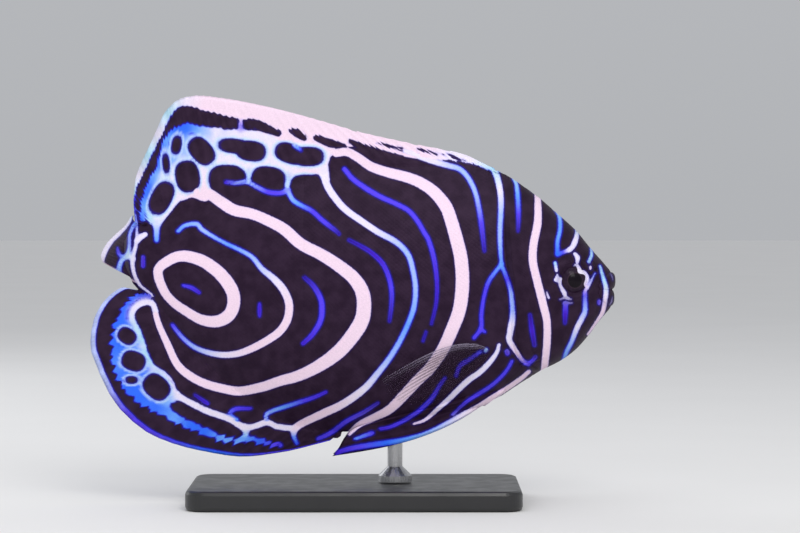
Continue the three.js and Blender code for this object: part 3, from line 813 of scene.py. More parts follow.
HEAD_LINES = (
    Line(((27.6, 67.2), (28.4, 65.2), (29, 62.6), (29.2, 59.6), (29, 54.2), (29.1, 50.4), (29.3, 47.9)),
         (1.3, 1.2, 1.1, 1, 0.8), (CYAN, WHITE, PALE, PALE, SKY)),
    Line(((29.2, 47.6), (28.2, 46.4), (26.7, 44.2), (25.8, 41.2), (25.3, 37.8), (25.2, 35), (23.8, 33)),
         (0.8, 0.8, 0.7, 0.8, 0.7), (SKY, INDIGO, INDIGO, INDIGO)),
    Line(((25.2, 34.8), (26, 34.2)), (0.7, 0.5), (INDIGO,)),
    Line(((29.3, 47.6), (29.9, 46.2), (30.8, 43.7), (31.3, 41.2), (31.5, 37.3), (31, 34), (30.9, 32.5),
         (32.3, 30.2), (33.6, 28.4), (34.6, 27.8)), (0.8, 0.8, 0.9, 1, 1.3, 1.2, 0.9, 0.8), (SKY, INDIGO,
         PALE, PALE, WHITE, WHITE, PINK, INDIGO)),
    Line(((34.6, 27.9), (35.4, 28.4), (36.1, 29.2)), (0.7,), (INDIGO, PLUM)),
    Line(((31.7, 65), (32.3, 63.6), (32.6, 60.4), (32.7, 56.8), (32.6, 54.4)), (0.7, 1, 0.9, 0.6), (CYAN,
         SKY, INDIGO, PLUM)),
    Line(((35, 37.6), (35.4, 34.6), (35.9, 31.6)), (0.7, 1, 0.8), (PLUM, VIOLET, PLUM)),
    Line(((35.4, 62.8), (36.4, 61.8), (36.6, 58.8), (36.5, 55.8), (35.7, 51.6), (35.6, 48.2), (36.5, 44.2),
         (37.6, 39.8), (38.4, 36.2), (38.4, 32.2), (38.1, 28.9), (37.9, 26.8), (37.7, 24)), (0.9, 1.4, 1.6,
         1.6, 1.6, 1.6, 1.6, 1.5, 1.5, 1.4, 1.2), (PINK,)),
    Line(((38.35, 42.2), (38.75, 41)), (0.25, 0.4), (WHITE,)),
    Line(((40, 59), (40.9, 57.2), (41, 54.7), (40.5, 52.2), (40.5, 49.8)), (0.7, 0.9, 0.9, 0.9), (CYAN, SKY,
         SKY, BLUE)),
    Line(((40.6, 49.8), (41.8, 50.2), (42.8, 50.6)), (0.8, 0.6), (BLUE, INDIGO, WHITE)),
    Line(((42.8, 50.6), (43.6, 51.4), (44.2, 52.9), (44.4, 54.4), (44, 55.8)), (0.9, 1.1, 0.8, 0.6), (WHITE,
         WHITE, CYAN)),
    Line(((40.05, 48), (40.3, 46.5)), (0.7, 0.6), (CYAN, WHITE)),
    Line(((40.5, 45.6), (40.2, 44.7)), (0.4, 0.6), (WHITE,)),
    Line(((40.2, 44.6), (40.8, 44.7), (41.1, 44.9)), (0.6, 0.5), (WHITE,)),
    Line(((40.9, 44.6), (41, 43.7), (41.4, 42.8), (41.9, 42), (42.1, 41.3), (42.7, 40.9)), (0.7, 0.6, 0.7,
         0.9, 0.7, 0.3), (WHITE,)),
    Line(((44, 49.8), (44.5, 49.1), (44.45, 48.2)), (0.7, 1, 0.6), (WHITE,)),
    Line(((43.8, 47.5), (44.4, 47.5), (44.8, 46.9), (45, 46.3), (45.8, 46.1), (46.4, 45.4), (46.4, 44.5),
         (46.1, 43.8), (46.3, 43.1), (46, 42.5)), (0.3, 0.6, 0.8, 0.8, 0.6, 0.8, 0.7, 0.5, 0.4), (WHITE,
         WHITE, WHITE, PINK)),
    Line(((41, 40.7), (42, 41), (43.2, 40.8)), (0.35,), (GREY,)),
    Line(((41.8, 40), (43.4, 40)), (0.35,), (GREY,)),
    Line(((42.1, 39.8), (42, 36)), (0.9, 1, 0.7), (INDIGO, VIOLET, PLUM)),
    Line(((48, 45.9), (47.4, 44.8), (47, 43.9), (46.5, 43)), (0.3, 0.4, 0.5), (PALE, WHITE)),
    Line(((46, 42), (46, 40.6), (46, 38.4), (45.3, 36.8), (44.3, 34.8), (43.3, 32.2), (42.1, 29.6),
         (41.4, 25.6)), (0.8, 1.1, 1, 0.9, 0.8), (INDIGO, PALE, WHITE, PALE, SKY, INDIGO)),
    Line(((47.2, 51.1), (47.3, 49.6), (46.8, 48.3)), (0.4, 0.7, 0.7), (CYAN,)),
    Line(((47.1, 47.2), (47.1, 46.9)), (0.5,), (PINK,)),
    Line(((49, 47.4), (49.6, 45.2), (50.2, 42.9), (50, 40.4), (49.5, 38.1), (48.4, 36.3), (46.6, 33.7)),
         (0.5, 0.8, 1, 0.9, 0.8, 0.6, 0.5), (CYAN, CYAN, WHITE, PINK, PINK, PINK)),
    Line(((48.8, 40.4), (48.8, 39.9)), (0.6,), (VIOLET,)),
    # Painted highlights: thin grey lines along the front edges of the upper and lower lips.
    Line(((51.1, 45.9), (51.4, 45.3), (51.6, 44.5)), (0.1, 0.28, 0.1), (GREY,)),
    Line(((51.5, 41.2), (51.3, 40.3), (50.9, 39.6)), (0.1, 0.28, 0.1), (GREY,)),
)
BELLY_LINES = (
    Line(((28.8, 31.6), (28.4, 30.2), (27, 28.2), (25, 26.2), (23, 24.8), (21, 23), (19, 21), (17, 19.2),
         (15, 17.4), (13.6, 16.4), (11.6, 15.8)), (0.7, 1.1, 1.2, 1.1, 0.8, 0.4), (WHITE, WHITE, WHITE,
         PINK)),
    Line(((31.4, 28.4), (30.4, 26.6), (28.6, 24.6), (26.6, 23), (24, 21.4), (22, 20), (19.4, 17.6)), (0.6,
         0.75, 0.5), (INDIGO, INDIGO, VIOLET)),
    Line(((26.3, 30.7), (26.1, 30.4)), (0.7,), (CYAN,)),
    Line(((30.4, 30.3), (30.5, 29.9)), (0.9,), (VIOLET,)),
    Line(((25, 30.2), (23, 28.8), (21, 27.4), (20.2, 25.4)), (0.6, 0.8, 0.6), (INDIGO, VIOLET)),
    Line(((18, 25), (17, 23.6), (15.4, 21), (13, 18.6), (11, 17.2), (9, 16.1), (7, 15.2), (5, 14.8)), (0.6,
         0.8, 0.7, 0.6), (VIOLET, INDIGO, INDIGO, VIOLET)),
    Line(((34.8, 26.3), (33, 24.7), (31, 23.2), (29, 21.9), (27, 20.7), (25, 19.4), (21, 17.3),
         (17.4, 15.3), (13.7, 13.6), (9.9, 12.6), (6.2, 12), (2.5, 11.5), (-1.3, 10.8), (-4.3, 9.8)), (0.8,
         1.2, 1.2, 1.1, 1.1, 1.15, 1.15, 1, 0.8), (PINK, PINK, PINK, WHITE, PALE, SKY, BLUE, INDIGO,
         VIOLET)),
    Line(((0, 12.8), (3.4, 14)), (0.6, 0.9), (SKY, INDIGO)),
    Line(((4.6, 20), (1.8, 18.2), (-1.6, 16.4), (-4.6, 14.2), (-7.4, 12.8)), (0.6, 0.8, 0.9, 0.7), (PLUM,
         INDIGO, INDIGO)),
    Line(((-17.7, 16.6), (-17.7, 17.7), (-16.3, 18.5), (-13.5, 19.4), (-11, 20.2), (-8, 21.2),
         (-5.8, 22.2)), (0.8, 0.9, 0.8, 0.6), (PALE, SKY, INDIGO, VIOLET)),
    Line(((-23.6, 16.6), (-25, 17.7), (-23.9, 18.8), (-20.8, 18.9)), (0.8, 0.8, 0.6), (SKY, INDIGO,
         VIOLET)),
    Line(((-32, 21.6), (-29.5, 19.9)), (0.6, 0.8), (PLUM, VIOLET)),
    Line(((-15, 11.7), (-14.9, 11.5)), (0.8,), (INDIGO,)),
)
DORSAL_NET = (
    Line(((-37.2, 68), (-35.6, 70.6), (-33.2, 71.2), (-30.7, 71), (-26, 70.9), (-22.4, 70.8), (-18, 70.6),
         (-14, 70.1), (-11.4, 69.8), (-8.4, 69.4)), (2.8, 4.2, 4.8, 5.4, 5.4, 5.4, 5.3, 5.5, 5.6, 4.8),
         (SKY, PALE, WHITE, WHITE, WHITE, WHITE)),
    Line(((-38.8, 60.6), (-37.2, 63.2), (-35.4, 65.4), (-33.2, 66.4)), (4.4, 5.6, 6.2, 5.4), (CYAN, WHITE,
         WHITE)),
    Line(((-42.6, 56.7), (-42.4, 58.2), (-42, 60.4), (-41.3, 62.6), (-40.3, 64.8), (-39.2, 67),
         (-38.6, 69.4), (-38, 71.6), (-36.9, 73.4), (-35.4, 74.4), (-33.4, 75), (-31.4, 74.6), (-29, 73.9)),
         (0.8, 1.1, 1.3, 1.4, 1.3, 1.1, 1, 1.2, 1.4, 1.7, 1.7, 1.6, 1.5), (BLUE, SKY, BLUE, BLUE, SKY, BLUE,
         BLUE, SKY, BLUE, BLUE, SKY, PALE)),
    Line(((-30.5, 74.2), (-28, 73.7), (-24.4, 73.9), (-20.6, 73.7), (-16, 73.2), (-12, 72.8), (-8.4, 72),
         (-4.8, 70.6)), (1.8, 1.5, 1.5, 1.6, 1.6, 1.5, 1.8), (PALE, WHITE, WHITE, WHITE, PINK)),
    Line(((-41.8, 60.4), (-41.5, 58.6), (-40.9, 57), (-39.6, 56.5), (-38, 58.1), (-36.5, 60.1), (-35, 61.5),
         (-32.4, 62), (-30, 61.4)), (1, 1.3, 1.6, 1.7, 1.7, 1.8, 2), (SKY, CYAN, WHITE, WHITE, PINK, PINK)),
    Line(((-39.6, 56.8), (-39.7, 54.8), (-39.7, 52.6)), (1.8, 1.2, 1), (WHITE, PALE, SKY)),
    Line(((-36.6, 69.4), (-35.2, 69.4), (-33.4, 68.8), (-31.4, 67.8), (-29.6, 67.8), (-27.2, 68.6),
         (-24.2, 68.4), (-20.6, 67.8), (-17.4, 67.9), (-14.6, 67.6), (-12, 66.5), (-9.4, 66.4),
         (-7.2, 66.9), (-6.1, 68.2), (-5.6, 70)), (1, 1.1, 1.2, 1.6, 1.8, 1.6, 1.6, 1.2, 1.3, 1.5, 1.6, 1.6,
         1.6, 1.4, 1.5), (PALE, WHITE, WHITE, WHITE, WHITE, PINK, WHITE)),
    Line(((-30.2, 68), (-30, 65), (-30.3, 62.2)), (2.6, 1.8, 2.6), (WHITE, PINK)),
    Line(((-33.8, 74.6), (-34, 72.6), (-34.3, 70.6), (-35, 69.2)), (1.1, 0.9, 0.9, 1.1), (BLUE, SKY,
         WHITE)),
    Line(((-36.4, 69.4), (-36.5, 67.4), (-36.5, 65.4), (-35.6, 63), (-34.4, 61.6)), (1, 0.8, 1, 1.2, 1.6),
         (SKY, WHITE, WHITE)),
    Line(((-40.2, 64.4), (-39.2, 65), (-37.6, 65.2), (-36, 65.6)), (1.2, 1.2, 1.3), (SKY, CYAN, WHITE)),
    Line(((-27.8, 74), (-27.7, 71.8), (-27.4, 69.8), (-27.4, 68.2)), (2.6, 1, 1.6, 2.4), (WHITE,)),
    Line(((-17, 73.4), (-16.9, 70.6), (-16.6, 68)), (3, 1.4, 3), (WHITE,)),
    Line(((-21.3, 67.6), (-21.2, 66), (-21.5, 64.4)), (3.2, 1.3, 0.8), (WHITE, PALE, SKY)),
    Line(((-13.2, 66.8), (-13.4, 64.8), (-13.6, 62.8)), (3.2, 1.3, 0.9), (WHITE, PALE, PALE)),
    Line(((-29.3, 66.8), (-29.6, 65.4)), (2.4, 1.4), (WHITE,)),
    Line(((-6.4, 66.6), (-5.8, 64.6)), (2.2, 1.5), (WHITE,)),
    Line(((-22.9, 77.4), (-22.9, 74.6)), (0.8, 0.7), (PINK, INDIGO)),
    Line(((-44, 57.2), (-44.2, 59.2), (-44.3, 61.6)), (0.25, 0.35, 0.6), (PLUM, INDIGO)),
)
DORSAL_MARGIN = Line(
    ((-44.5, 61.4), (-44.2, 63.9), (-42.8, 67.6), (-41.2, 71.2), (-39.4, 74.8), (-37.9, 78.2),
     (-35.8, 80.5), (-33, 81.5), (-28.6, 81.1), (-24, 80.5), (-20, 79.8), (-14, 78.4), (-8, 76.7), (-3, 75.8),
     (0, 75.3), (4, 74.3), (8, 73.1), (13, 71.6), (19, 70.4), (24, 68.8), (27.6, 67)),
    (0.9, 2.1, 2.4, 2.4, 2.5, 3, 5, 6.2, 7, 8.6, 13, 11.6, 9.8, 8.6, 7.2, 6.6, 6, 5.2, 3.4, 2.2, 1.5),
    (CYAN, WHITE, CYAN, WHITE, CYAN, WHITE) + (PINK,) * 11 + (WHITE, WHITE, CYAN),
)
ANAL_NET = (
    Line(((-46.4, 35), (-46.2, 33), (-45.4, 30.4), (-44.9, 28.2), (-43.8, 25.8), (-41.4, 24), (-39.6, 22.6),
         (-38.2, 21.2)), (3.4, 4.6, 5.8, 6.6, 6.2, 5.8, 6.2, 4.2), (BLUE, BLUE, SKY, BLUE, BLUE, SKY)),
    Line(((-41.2, 41.4), (-43.2, 41.4), (-45, 40.2), (-46, 38.8), (-46.8, 36.2), (-47, 33.4), (-46.8, 30.4),
         (-46.2, 27.6), (-45.3, 25), (-43.5, 22.6), (-41.1, 20.4), (-38.6, 18.9), (-35.6, 16.8),
         (-31.6, 15), (-28, 13.5), (-25.6, 12.6), (-23, 12.7), (-20.6, 12.8), (-18, 12.1), (-16, 11.7)),
         (0.6, 0.8, 1, 1.6, 2.6, 3.4, 4, 3.8, 3.8, 3.2, 2.6, 1.9, 1.6, 1.5, 1.5, 1.2, 0.9, 1, 1.1, 0.7),
         (NAVY, BLUE, BLUE, BLUE, BLUE, BLUE, BLUE, BLUE, BLUE, SKY, BLUE, BLUE, SKY, SKY, BLUE, INDIGO)),
    Line(((-39.9, 38.4), (-40.5, 39.8), (-41.8, 40.2), (-43.4, 39.6), (-44.5, 38.3), (-44.6, 36.7),
         (-43.8, 35.1), (-42.9, 33), (-42.4, 31), (-41.5, 28.8), (-40.4, 27), (-38.2, 25.6), (-36.9, 24),
         (-36, 21.9), (-33.4, 20.3), (-29.6, 18.4), (-26.4, 17.3), (-24.4, 16.4), (-22.2, 15.1),
         (-20.2, 15.3), (-17.6, 16.1), (-15.6, 15.3), (-12.6, 14.9)), (1.1, 1.3, 1.2, 1.2, 1.2, 1.2, 1.2,
         1.2, 1.3, 1.3, 1.2, 1.2, 1.1, 1.2), (WHITE, WHITE, CYAN, CYAN, WHITE, WHITE, WHITE, WHITE, WHITE,
         WHITE)),
    Line(((-47.2, 31.2), (-45, 31.3), (-42.8, 31.2)), (0.8, 1, 1.3), (SKY, CYAN, WHITE)),
    Line(((-45, 25.9), (-43, 26), (-40.6, 26.6)), (0.7, 0.9, 1.2), (SKY, CYAN, WHITE)),
    Line(((-41.4, 20.5), (-39.2, 20.1), (-37.2, 20.6), (-35.8, 21.6)), (0.8, 0.9, 1.2), (SKY, CYAN, WHITE)),
    Line(((-22.2, 15), (-22, 13.8), (-22.4, 12.9)), (1.2, 0.7, 0.8), (WHITE, CYAN, SKY)),
)
TAIL_LINES = (
    Line(((-43.9, 57.6), (-43.7, 55.8), (-43.7, 53.4), (-43.9, 51.5), (-44.3, 50), (-44.6, 48.6),
         (-44.4, 46.5), (-43.8, 44.8), (-42.9, 43.4), (-41.6, 42.4), (-40.4, 41.4)), (0.3, 0.4, 0.5, 0.8,
         0.9, 0.8, 0.7, 0.5, 0.4), (PALE, WHITE, WHITE, WHITE, WHITE)),
    Line(((-43.6, 52.5), (-42.9, 53.2), (-42, 53.7)), (1.1, 1.2, 1), (WHITE,)),
)
CAUDAL_LINES = (
    Line(((-44.2, 59), (-44.6, 58.1), (-45.3, 56.3), (-46, 55.3), (-46.8, 54.5), (-47.8, 53.5),
         (-48.6, 52.7), (-49.3, 51.8), (-50, 50.8), (-50.5, 49.6), (-50.6, 48.4)), (0.4, 0.7, 1, 0.9, 1.1,
         1.2, 1.1, 1.2, 1.4, 1.4, 0.9), (CYAN, WHITE, WHITE, WHITE, WHITE)),
    Line(((-50.2, 47.9), (-48.3, 46.9), (-46.6, 45.9), (-44.2, 44.2)), (0.4, 0.35, 0.3), (ROSE,)),
    Line(((-47.3, 46.1), (-47.1, 47.4), (-46.6, 48.6), (-45.5, 49.4)), (1, 1, 0.9), (SKY, PALE, CYAN)),
    Line(((-45.5, 49.4), (-45.2, 51.5), (-45.1, 53.6), (-44.6, 55), (-44, 55.9)), (0.9, 0.6, 0.55, 0.6,
         0.7), (CYAN, PALE, PALE, SKY)),
    Line(((-45.5, 49.4), (-44.9, 49.2), (-44.4, 48.8)), (0.9,), (WHITE,)),
    Line(((-47.5, 51), (-47.3, 50.1), (-46.9, 49.5), (-46.2, 49.3)), (0.4, 0.7, 0.6), (VIOLET, INDIGO,
         BLUE)),
)
CELLS = (
    Blotch(-38.7, 61, 3.5, 2.1, 63),
    Blotch(-33.5, 65.3, 3.2, 2.45, 100),
    Blotch(-37.8, 67.9, 2, 0.75, 95),
    Blotch(-35.7, 71.6, 1.9, 1.05, 80),
    Blotch(-30.7, 70.4, 3.1, 2.15, -48),
    Blotch(-24.2, 71.4, 3.2, 1.5, -6),
    Blotch(-20.8, 70.4, 3, 2.05, -8),
    Blotch(-13, 69.9, 3.1, 2, -18),
    Blotch(-9.4, 69.3, 3.2, 1.95, 0),
    Blotch(-25.5, 64.8, 3.8, 2.8, -4),
    Blotch(-17.3, 64.9, 3.4, 2.4, -8),
    Blotch(-9.8, 62.6, 3.3, 3.1, 0),
    Blotch(-45.6, 33.4, 1.95, 1.6, -35),
    Blotch(-44.3, 28.4, 2.45, 2, -20),
    Blotch(-44.7, 24.6, 1.25, 0.8, 0),
    Blotch(-39.7, 23.2, 2.9, 2.3, -42),
)
DARK_LINES = (
    Line(((-36.4, 19.5), (-34, 18.2), (-31, 16.9), (-28, 15.8), (-25, 14.8), (-23.2, 14.2)), (1.2, 2.3, 2.4,
         2.3, 2.2, 1.2), (GREY,)),
    Line(((-20.6, 14.1), (-18.4, 14.2), (-16, 13.6), (-13.6, 13.3)), (1.1, 1.9, 2, 1.6), (GREY,)),
    Line(((-36.6, 76.6), (-35, 77.2), (-33.4, 77.4), (-31.6, 77.2), (-29, 76.1), (-26.4, 75.9),
         (-24.4, 75.5)), (1, 1.8, 2, 2.1, 1.8, 1.6, 1.3), (GREY,)),
    Line(((-21.4, 76.2), (-18.4, 75.2), (-15.4, 73.9)), (1.6, 2, 1.3), (GREY,)),
    Line(((-12.8, 74.5), (-11.4, 73.8), (-10.2, 73)), (1, 1.7, 1.2), (GREY,)),
    Line(((-7.8, 73), (-5, 72), (-2.2, 71.3)), (1.2, 1.8, 1), (GREY,)),
    Line(((-1, 72.3), (1.6, 71), (5, 69.5), (9, 68.4), (13, 67.6)), (0.9, 2, 2.6, 2.4, 1.6), (GREY,)),
    Line(((4.4, 72), (6.4, 71.5), (9.4, 70.9)), (0.3, 0.6, 0.4), (GREY,)),
    Line(((7.4, 71.2), (9.6, 70.4), (12.6, 69.7)), (0.3, 0.6, 0.4), (GREY,)),
    Line(((12.6, 70.8), (14.6, 70.3), (16.4, 69.7)), (0.4, 0.6, 0.4), (GREY,)),
    Line(((17.6, 69.9), (20, 69.1), (22, 68.4)), (0.3, 0.5, 0.4), (GREY,)),
)


@dataclass(frozen=True)
class Markings:
    """The rings, lines and nets of the young fish, and painted highlights on the lips; the same function for
    skin, scales and fins.
    """

    lines: tuple[Line, ...] = RINGS + HEAD_LINES + BELLY_LINES + TAIL_LINES + CAUDAL_LINES
    nets: tuple[Line, ...] = DORSAL_NET + ANAL_NET
    far: float = 2.5
    blend: float = 0.16
    net_blend: float = 0.34
    tone_blend: float = 0.4
    cell_rim: float = 0.25
    cell_fade: float = 0.3
    cell_bright: float = 0.8
    margin_fray: float = 0.6
    batch: int = 3000
    rim: Profile = Profile([(-54, 1.15), (-46, 1.1), (-36, 0.9), (-22, 0.9), (-12, 0.75), (-4, 0.4)])
    rim_blue: Pair = (-28, 7)
    rim_pale: Pair = (17, 26)

    def near(self, line: Line, x: Array, z: Array) -> Arrays:
        """Find the places near one line.

        Args:
            line: The line.
            x: The x of each place.
            z: The z of each place.

        Returns:
            Index of each near place, its distance to the line's edge, and the line's colour there.
        """
        path, half, colours = line.samples()
        reach = self.far + half.max()
        low, high = path.min(0) - reach, path.max(0) + reach
        picked = np.flatnonzero((x > low[0]) & (x < high[0]) & (z > low[1]) & (z < high[1]))
        gap, tint = np.empty(len(picked)), np.empty((len(picked), 4))
        for part in np.array_split(np.arange(len(picked)), max(1, len(picked) // self.batch)):
            at = picked[part]
            value = np.hypot(x[at, None] - path[:, 0], z[at, None] - path[:, 1]) - half
            best = value.argmin(1) if len(part) else np.empty(0, int)
            gap[part] = value[np.arange(len(part)), best]
            tint[part] = colours[best]
        return picked, gap, tint

    def read(self, lines: tuple[Line, ...], blend: float, x: Array, z: Array) -> Arrays:
        """Read pale lines at places seen from the side.

        Args:
            lines: The lines.
            blend: How softly they run together, in millimetres.
            x: The x of each place.
            z: The z of each place.

        Returns:
            The distance to the edge of the nearest line, negative inside it, and (n, 4) its
            colour and border strength.
        """
        found = [self.near(line, x, z) for line in lines]
        nearest = np.full(len(x), self.far)
        for picked, gap, _ in found:
            nearest[picked] = np.minimum(nearest[picked], gap)
        joined = np.full(len(x), 1e-9)
        weight = np.full(len(x), 1e-9)
        colour = np.zeros((len(x), 4))
        for picked, gap, tint in found:
            joined[picked] += np.exp(-np.clip((gap - nearest[picked]) / blend, 0, 30))
            share = np.exp(-np.clip((gap - nearest[picked]) / self.tone_blend, 0, 30))
            weight[picked] += share
            colour[picked] += share[:, None] * tint
        return nearest - blend * np.log(np.maximum(joined, 1)), colour / weight[:, None]

    def carve(self, gap: Array, tint: Array, x: Array, z: Array, streak: Array) -> Arrays:
        """Cut the dark cells and streaks out of the pale nets.

        Args:
            gap: Distance to the edge of the nearest line.
            tint: Colour of that line.
            x: The x of each place.
            z: The z of each place.
            streak: How far the dark streaks are frayed.

        Returns:
            The new distance and colour, paler round a cell.
        """
        bright = lerp(CYAN.array, WHITE.array, 0.3)
        for cell in CELLS:
            depth = cell.depth(x, z)
            rim = smoothstep(-self.cell_rim - self.cell_fade, -self.cell_rim, depth)[:, None]
            tint = lerp(tint, bright, self.cell_bright * rim)
            gap = np.maximum(gap, depth)
        for line in DARK_LINES:
            picked, away, _ = self.near(line, x, z)
            gap[picked] = np.maximum(gap[picked], -away + streak[picked])
        return gap, tint

    def full(self, x: Array, z: Array, margin: Array, kind: Array, streak: Array) -> Arrays:
        """Read the lines and the borders of the midline fins.

        Args:
            x: The x of each place, seen from the side.
            z: Its z.
            margin: Distance to the fin's margin along its ray.
            kind: 1 on the dorsal fin, -1 on the anal fin and 0 elsewhere.
            streak: Rise of that distance in thin streaks along the rays.

        Returns:
            Distance to the edge of the nearest pale mark, and its colour with border strength.
        """
        gap, tint = self.read(self.nets, self.net_blend, x, z)
        gap = gap + streak
        picked, edge, edge_tint = self.near(DORSAL_MARGIN, x, z)
        edge = edge + self.margin_fray * streak[picked]
        nearer = (kind[picked] == 1) & (edge < gap[picked])
        gap[picked[nearer]] = edge[nearer]
        tint[picked[nearer]] = edge_tint[nearer]
        gap, tint = self.carve(gap, tint, x, z, streak)
        gap, tint = over(gap, tint, *self.read(self.lines, self.blend, x, z), np.full(len(x), True))
        high = smoothstep(*self.rim_pale, z)[:, None]
        blue = hill(x, *self.rim_blue)[:, None]
        lavender = lerp(PALE.array, WHITE.array, 0.3)
        rim = lerp(lerp(INDIGO.array, lavender, high), BLUE.array, blue)
        return over(gap, tint, margin - self.rim(x), rim, kind == -1)


def over(gap: Array, tint: Array, new_gap: Array, new_tint: Array, where: Array) -> Arrays:
    """Lay a further mark over the others where its edge is nearer."""
    nearer = where & (new_gap < gap)
    return np.where(nearer, new_gap, gap), np.where(nearer[:, None], new_tint, tint)


def off_fin(crest: Array) -> Arrays:
    """What paint needs of places that aren't on a midline fin, from their ray crest."""
    none = np.zeros(len(crest))
    return none, none + NO_MARGIN, crest, none


def paint(mesh: bpy.types.Mesh, markings: Markings, x: Array, z: Array, place: Arrays) -> None:
    """Store the markings on each vertex of a mesh.

    Args:
        mesh: The mesh.
        markings: The markings.
        x: The x at which each vertex is seen from the side.
        z: Its z.
        place: Kind, distance to the fin's margin, ray crest and streak of each vertex.
    """
    kind, margin, crest, streak = place
    gap, tint = markings.full(x, z, margin, kind, streak)
    beads = np.where(kind < 0, 1.0, smoothstep(*BEAD_FADE, x)) * (kind != 0)
    beads = beads * (1 - crest) * smoothstep(*BEAD_BAND, margin)
    tint[:, :3] *= 1 - BEAD_SHADE * beads[:, None]
    set_attribute(mesh, "mark_gap", gap)
    set_attribute(mesh, "mark_tint", tint)
    set_attribute(mesh, "ray", crest)


def join(tree: bpy.types.NodeTree, socket: Socket, value: object) -> None:
    """Link a socket to another one, or set its value; None leaves it as it is.

    Args:
        tree: The node tree.
        socket: The input.
        value: Socket, value or None.
    """
    if isinstance(value, Socket):
        tree.links.new(value, socket)
    elif value is not None:
        socket.default_value = value


class Shader:
    """A material's node tree, built with short calls."""

    def __init__(self, name: str) -> None:
        """Start an empty material.

        Args:
            name: Its name.
        """
        self.material = bpy.data.materials.new(name)
        self.material.use_nodes = True
        self.tree = self.material.node_tree
        self.tree.nodes.clear()
        self.output = self.tree.nodes.new("ShaderNodeOutputMaterial")
        self.surface = self.tree.nodes.new("ShaderNodeBsdfPrincipled")
        self.tree.links.new(self.surface.outputs[0], self.output.inputs["Surface"])

    def node(self, kind: str, *values: object, out: int | str = 0, **settings: object) -> Socket:
        """Add a node.

        Args:
            kind: Node type without its prefix ShaderNode.
            values: Inputs in order, each a socket or a value; None leaves one as it is.
            out: Output to return.
            settings: Properties of the node.

        Returns:
            The asked output socket.
        """
        made = self.tree.nodes.new("ShaderNode" + kind)
        for key, value in settings.items():
            setattr(made, key, value)
        for socket, value in zip(made.inputs, values):
            join(self.tree, socket, value)
        return made.outputs[out]

    def attribute(self, name: str, out: str = "Fac") -> Socket:
        """A vertex attribute as a number, colour or alpha."""
        return self.node("Attribute", out=out, attribute_name=name)

    def in_mm(self) -> Socket:
        """Object coordinates in millimetres."""
        place = self.node("TexCoord", out="Object")
        return self.node("VectorMath", place, (1 / MM, 1 / MM, 1 / MM), operation="MULTIPLY")

    def noise(self, size: float, detail: float, stretch: Triple = (1, 1, 1)) -> Socket:
        """Noise from 0 to 1.

        Args:
            size: Size of its blots in millimetres.
            detail: Octaves.
            stretch: Factor on the frequency along x, y and z.

        Returns:
            The noise value.
        """
        factors = tuple(factor / size for factor in stretch)
        place = self.node("VectorMath", self.in_mm(), factors, operation="MULTIPLY")
        return self.node("TexNoise", place, None, 1.0, detail)

    def ramp(self, value: Socket, low: float, high: float, start: float = 0.0, end: float = 1.0) -> Socket:
        """Value mapped smoothly from low and high to start and end."""
        return self.node("MapRange", value, low, high, start, end, interpolation_type="SMOOTHSTEP")

    def product(self, a: Socket, b: object) -> Socket:
        """The product of two numbers."""
        return self.node("Math", a, b, operation="MULTIPLY")

    def mix(self, share: Socket, a: object, b: object) -> Socket:
        """Colour a turning into b as share goes from 0 to 1."""
        unused = [None] * 5
        return self.node("Mix", share, *unused, a, b, out=2, data_type="RGBA")

    def bump(self, height: Socket, strength: float, depth: float) -> None:
        """Bump from a height of 0 to 1, depth in millimetres.

        Args:
            height: The height.
            strength: Its strength.
            depth: Distance in millimetres between 0 and 1.
        """
        made = self.tree.nodes.new("ShaderNodeBump")
        made.inputs["Strength"].default_value = strength
        made.inputs["Distance"].default_value = depth * MM
        join(self.tree, made.inputs["Height"], height)
        join(self.tree, self.surface.inputs["Normal"], made.outputs[0])

    def set(self, **values: object) -> None:
        """Inputs of the surface, named with underscores for spaces."""
        for key, value in values.items():
            join(self.tree, self.surface.inputs[key.replace("_", " ")], value)


def rgba(colour: Triple, brighter: float = 1.0) -> tuple[float, ...]:
    """A linear colour with full alpha, brightened by a factor."""
    return (*(brighter * channel for channel in colour), 1.0)


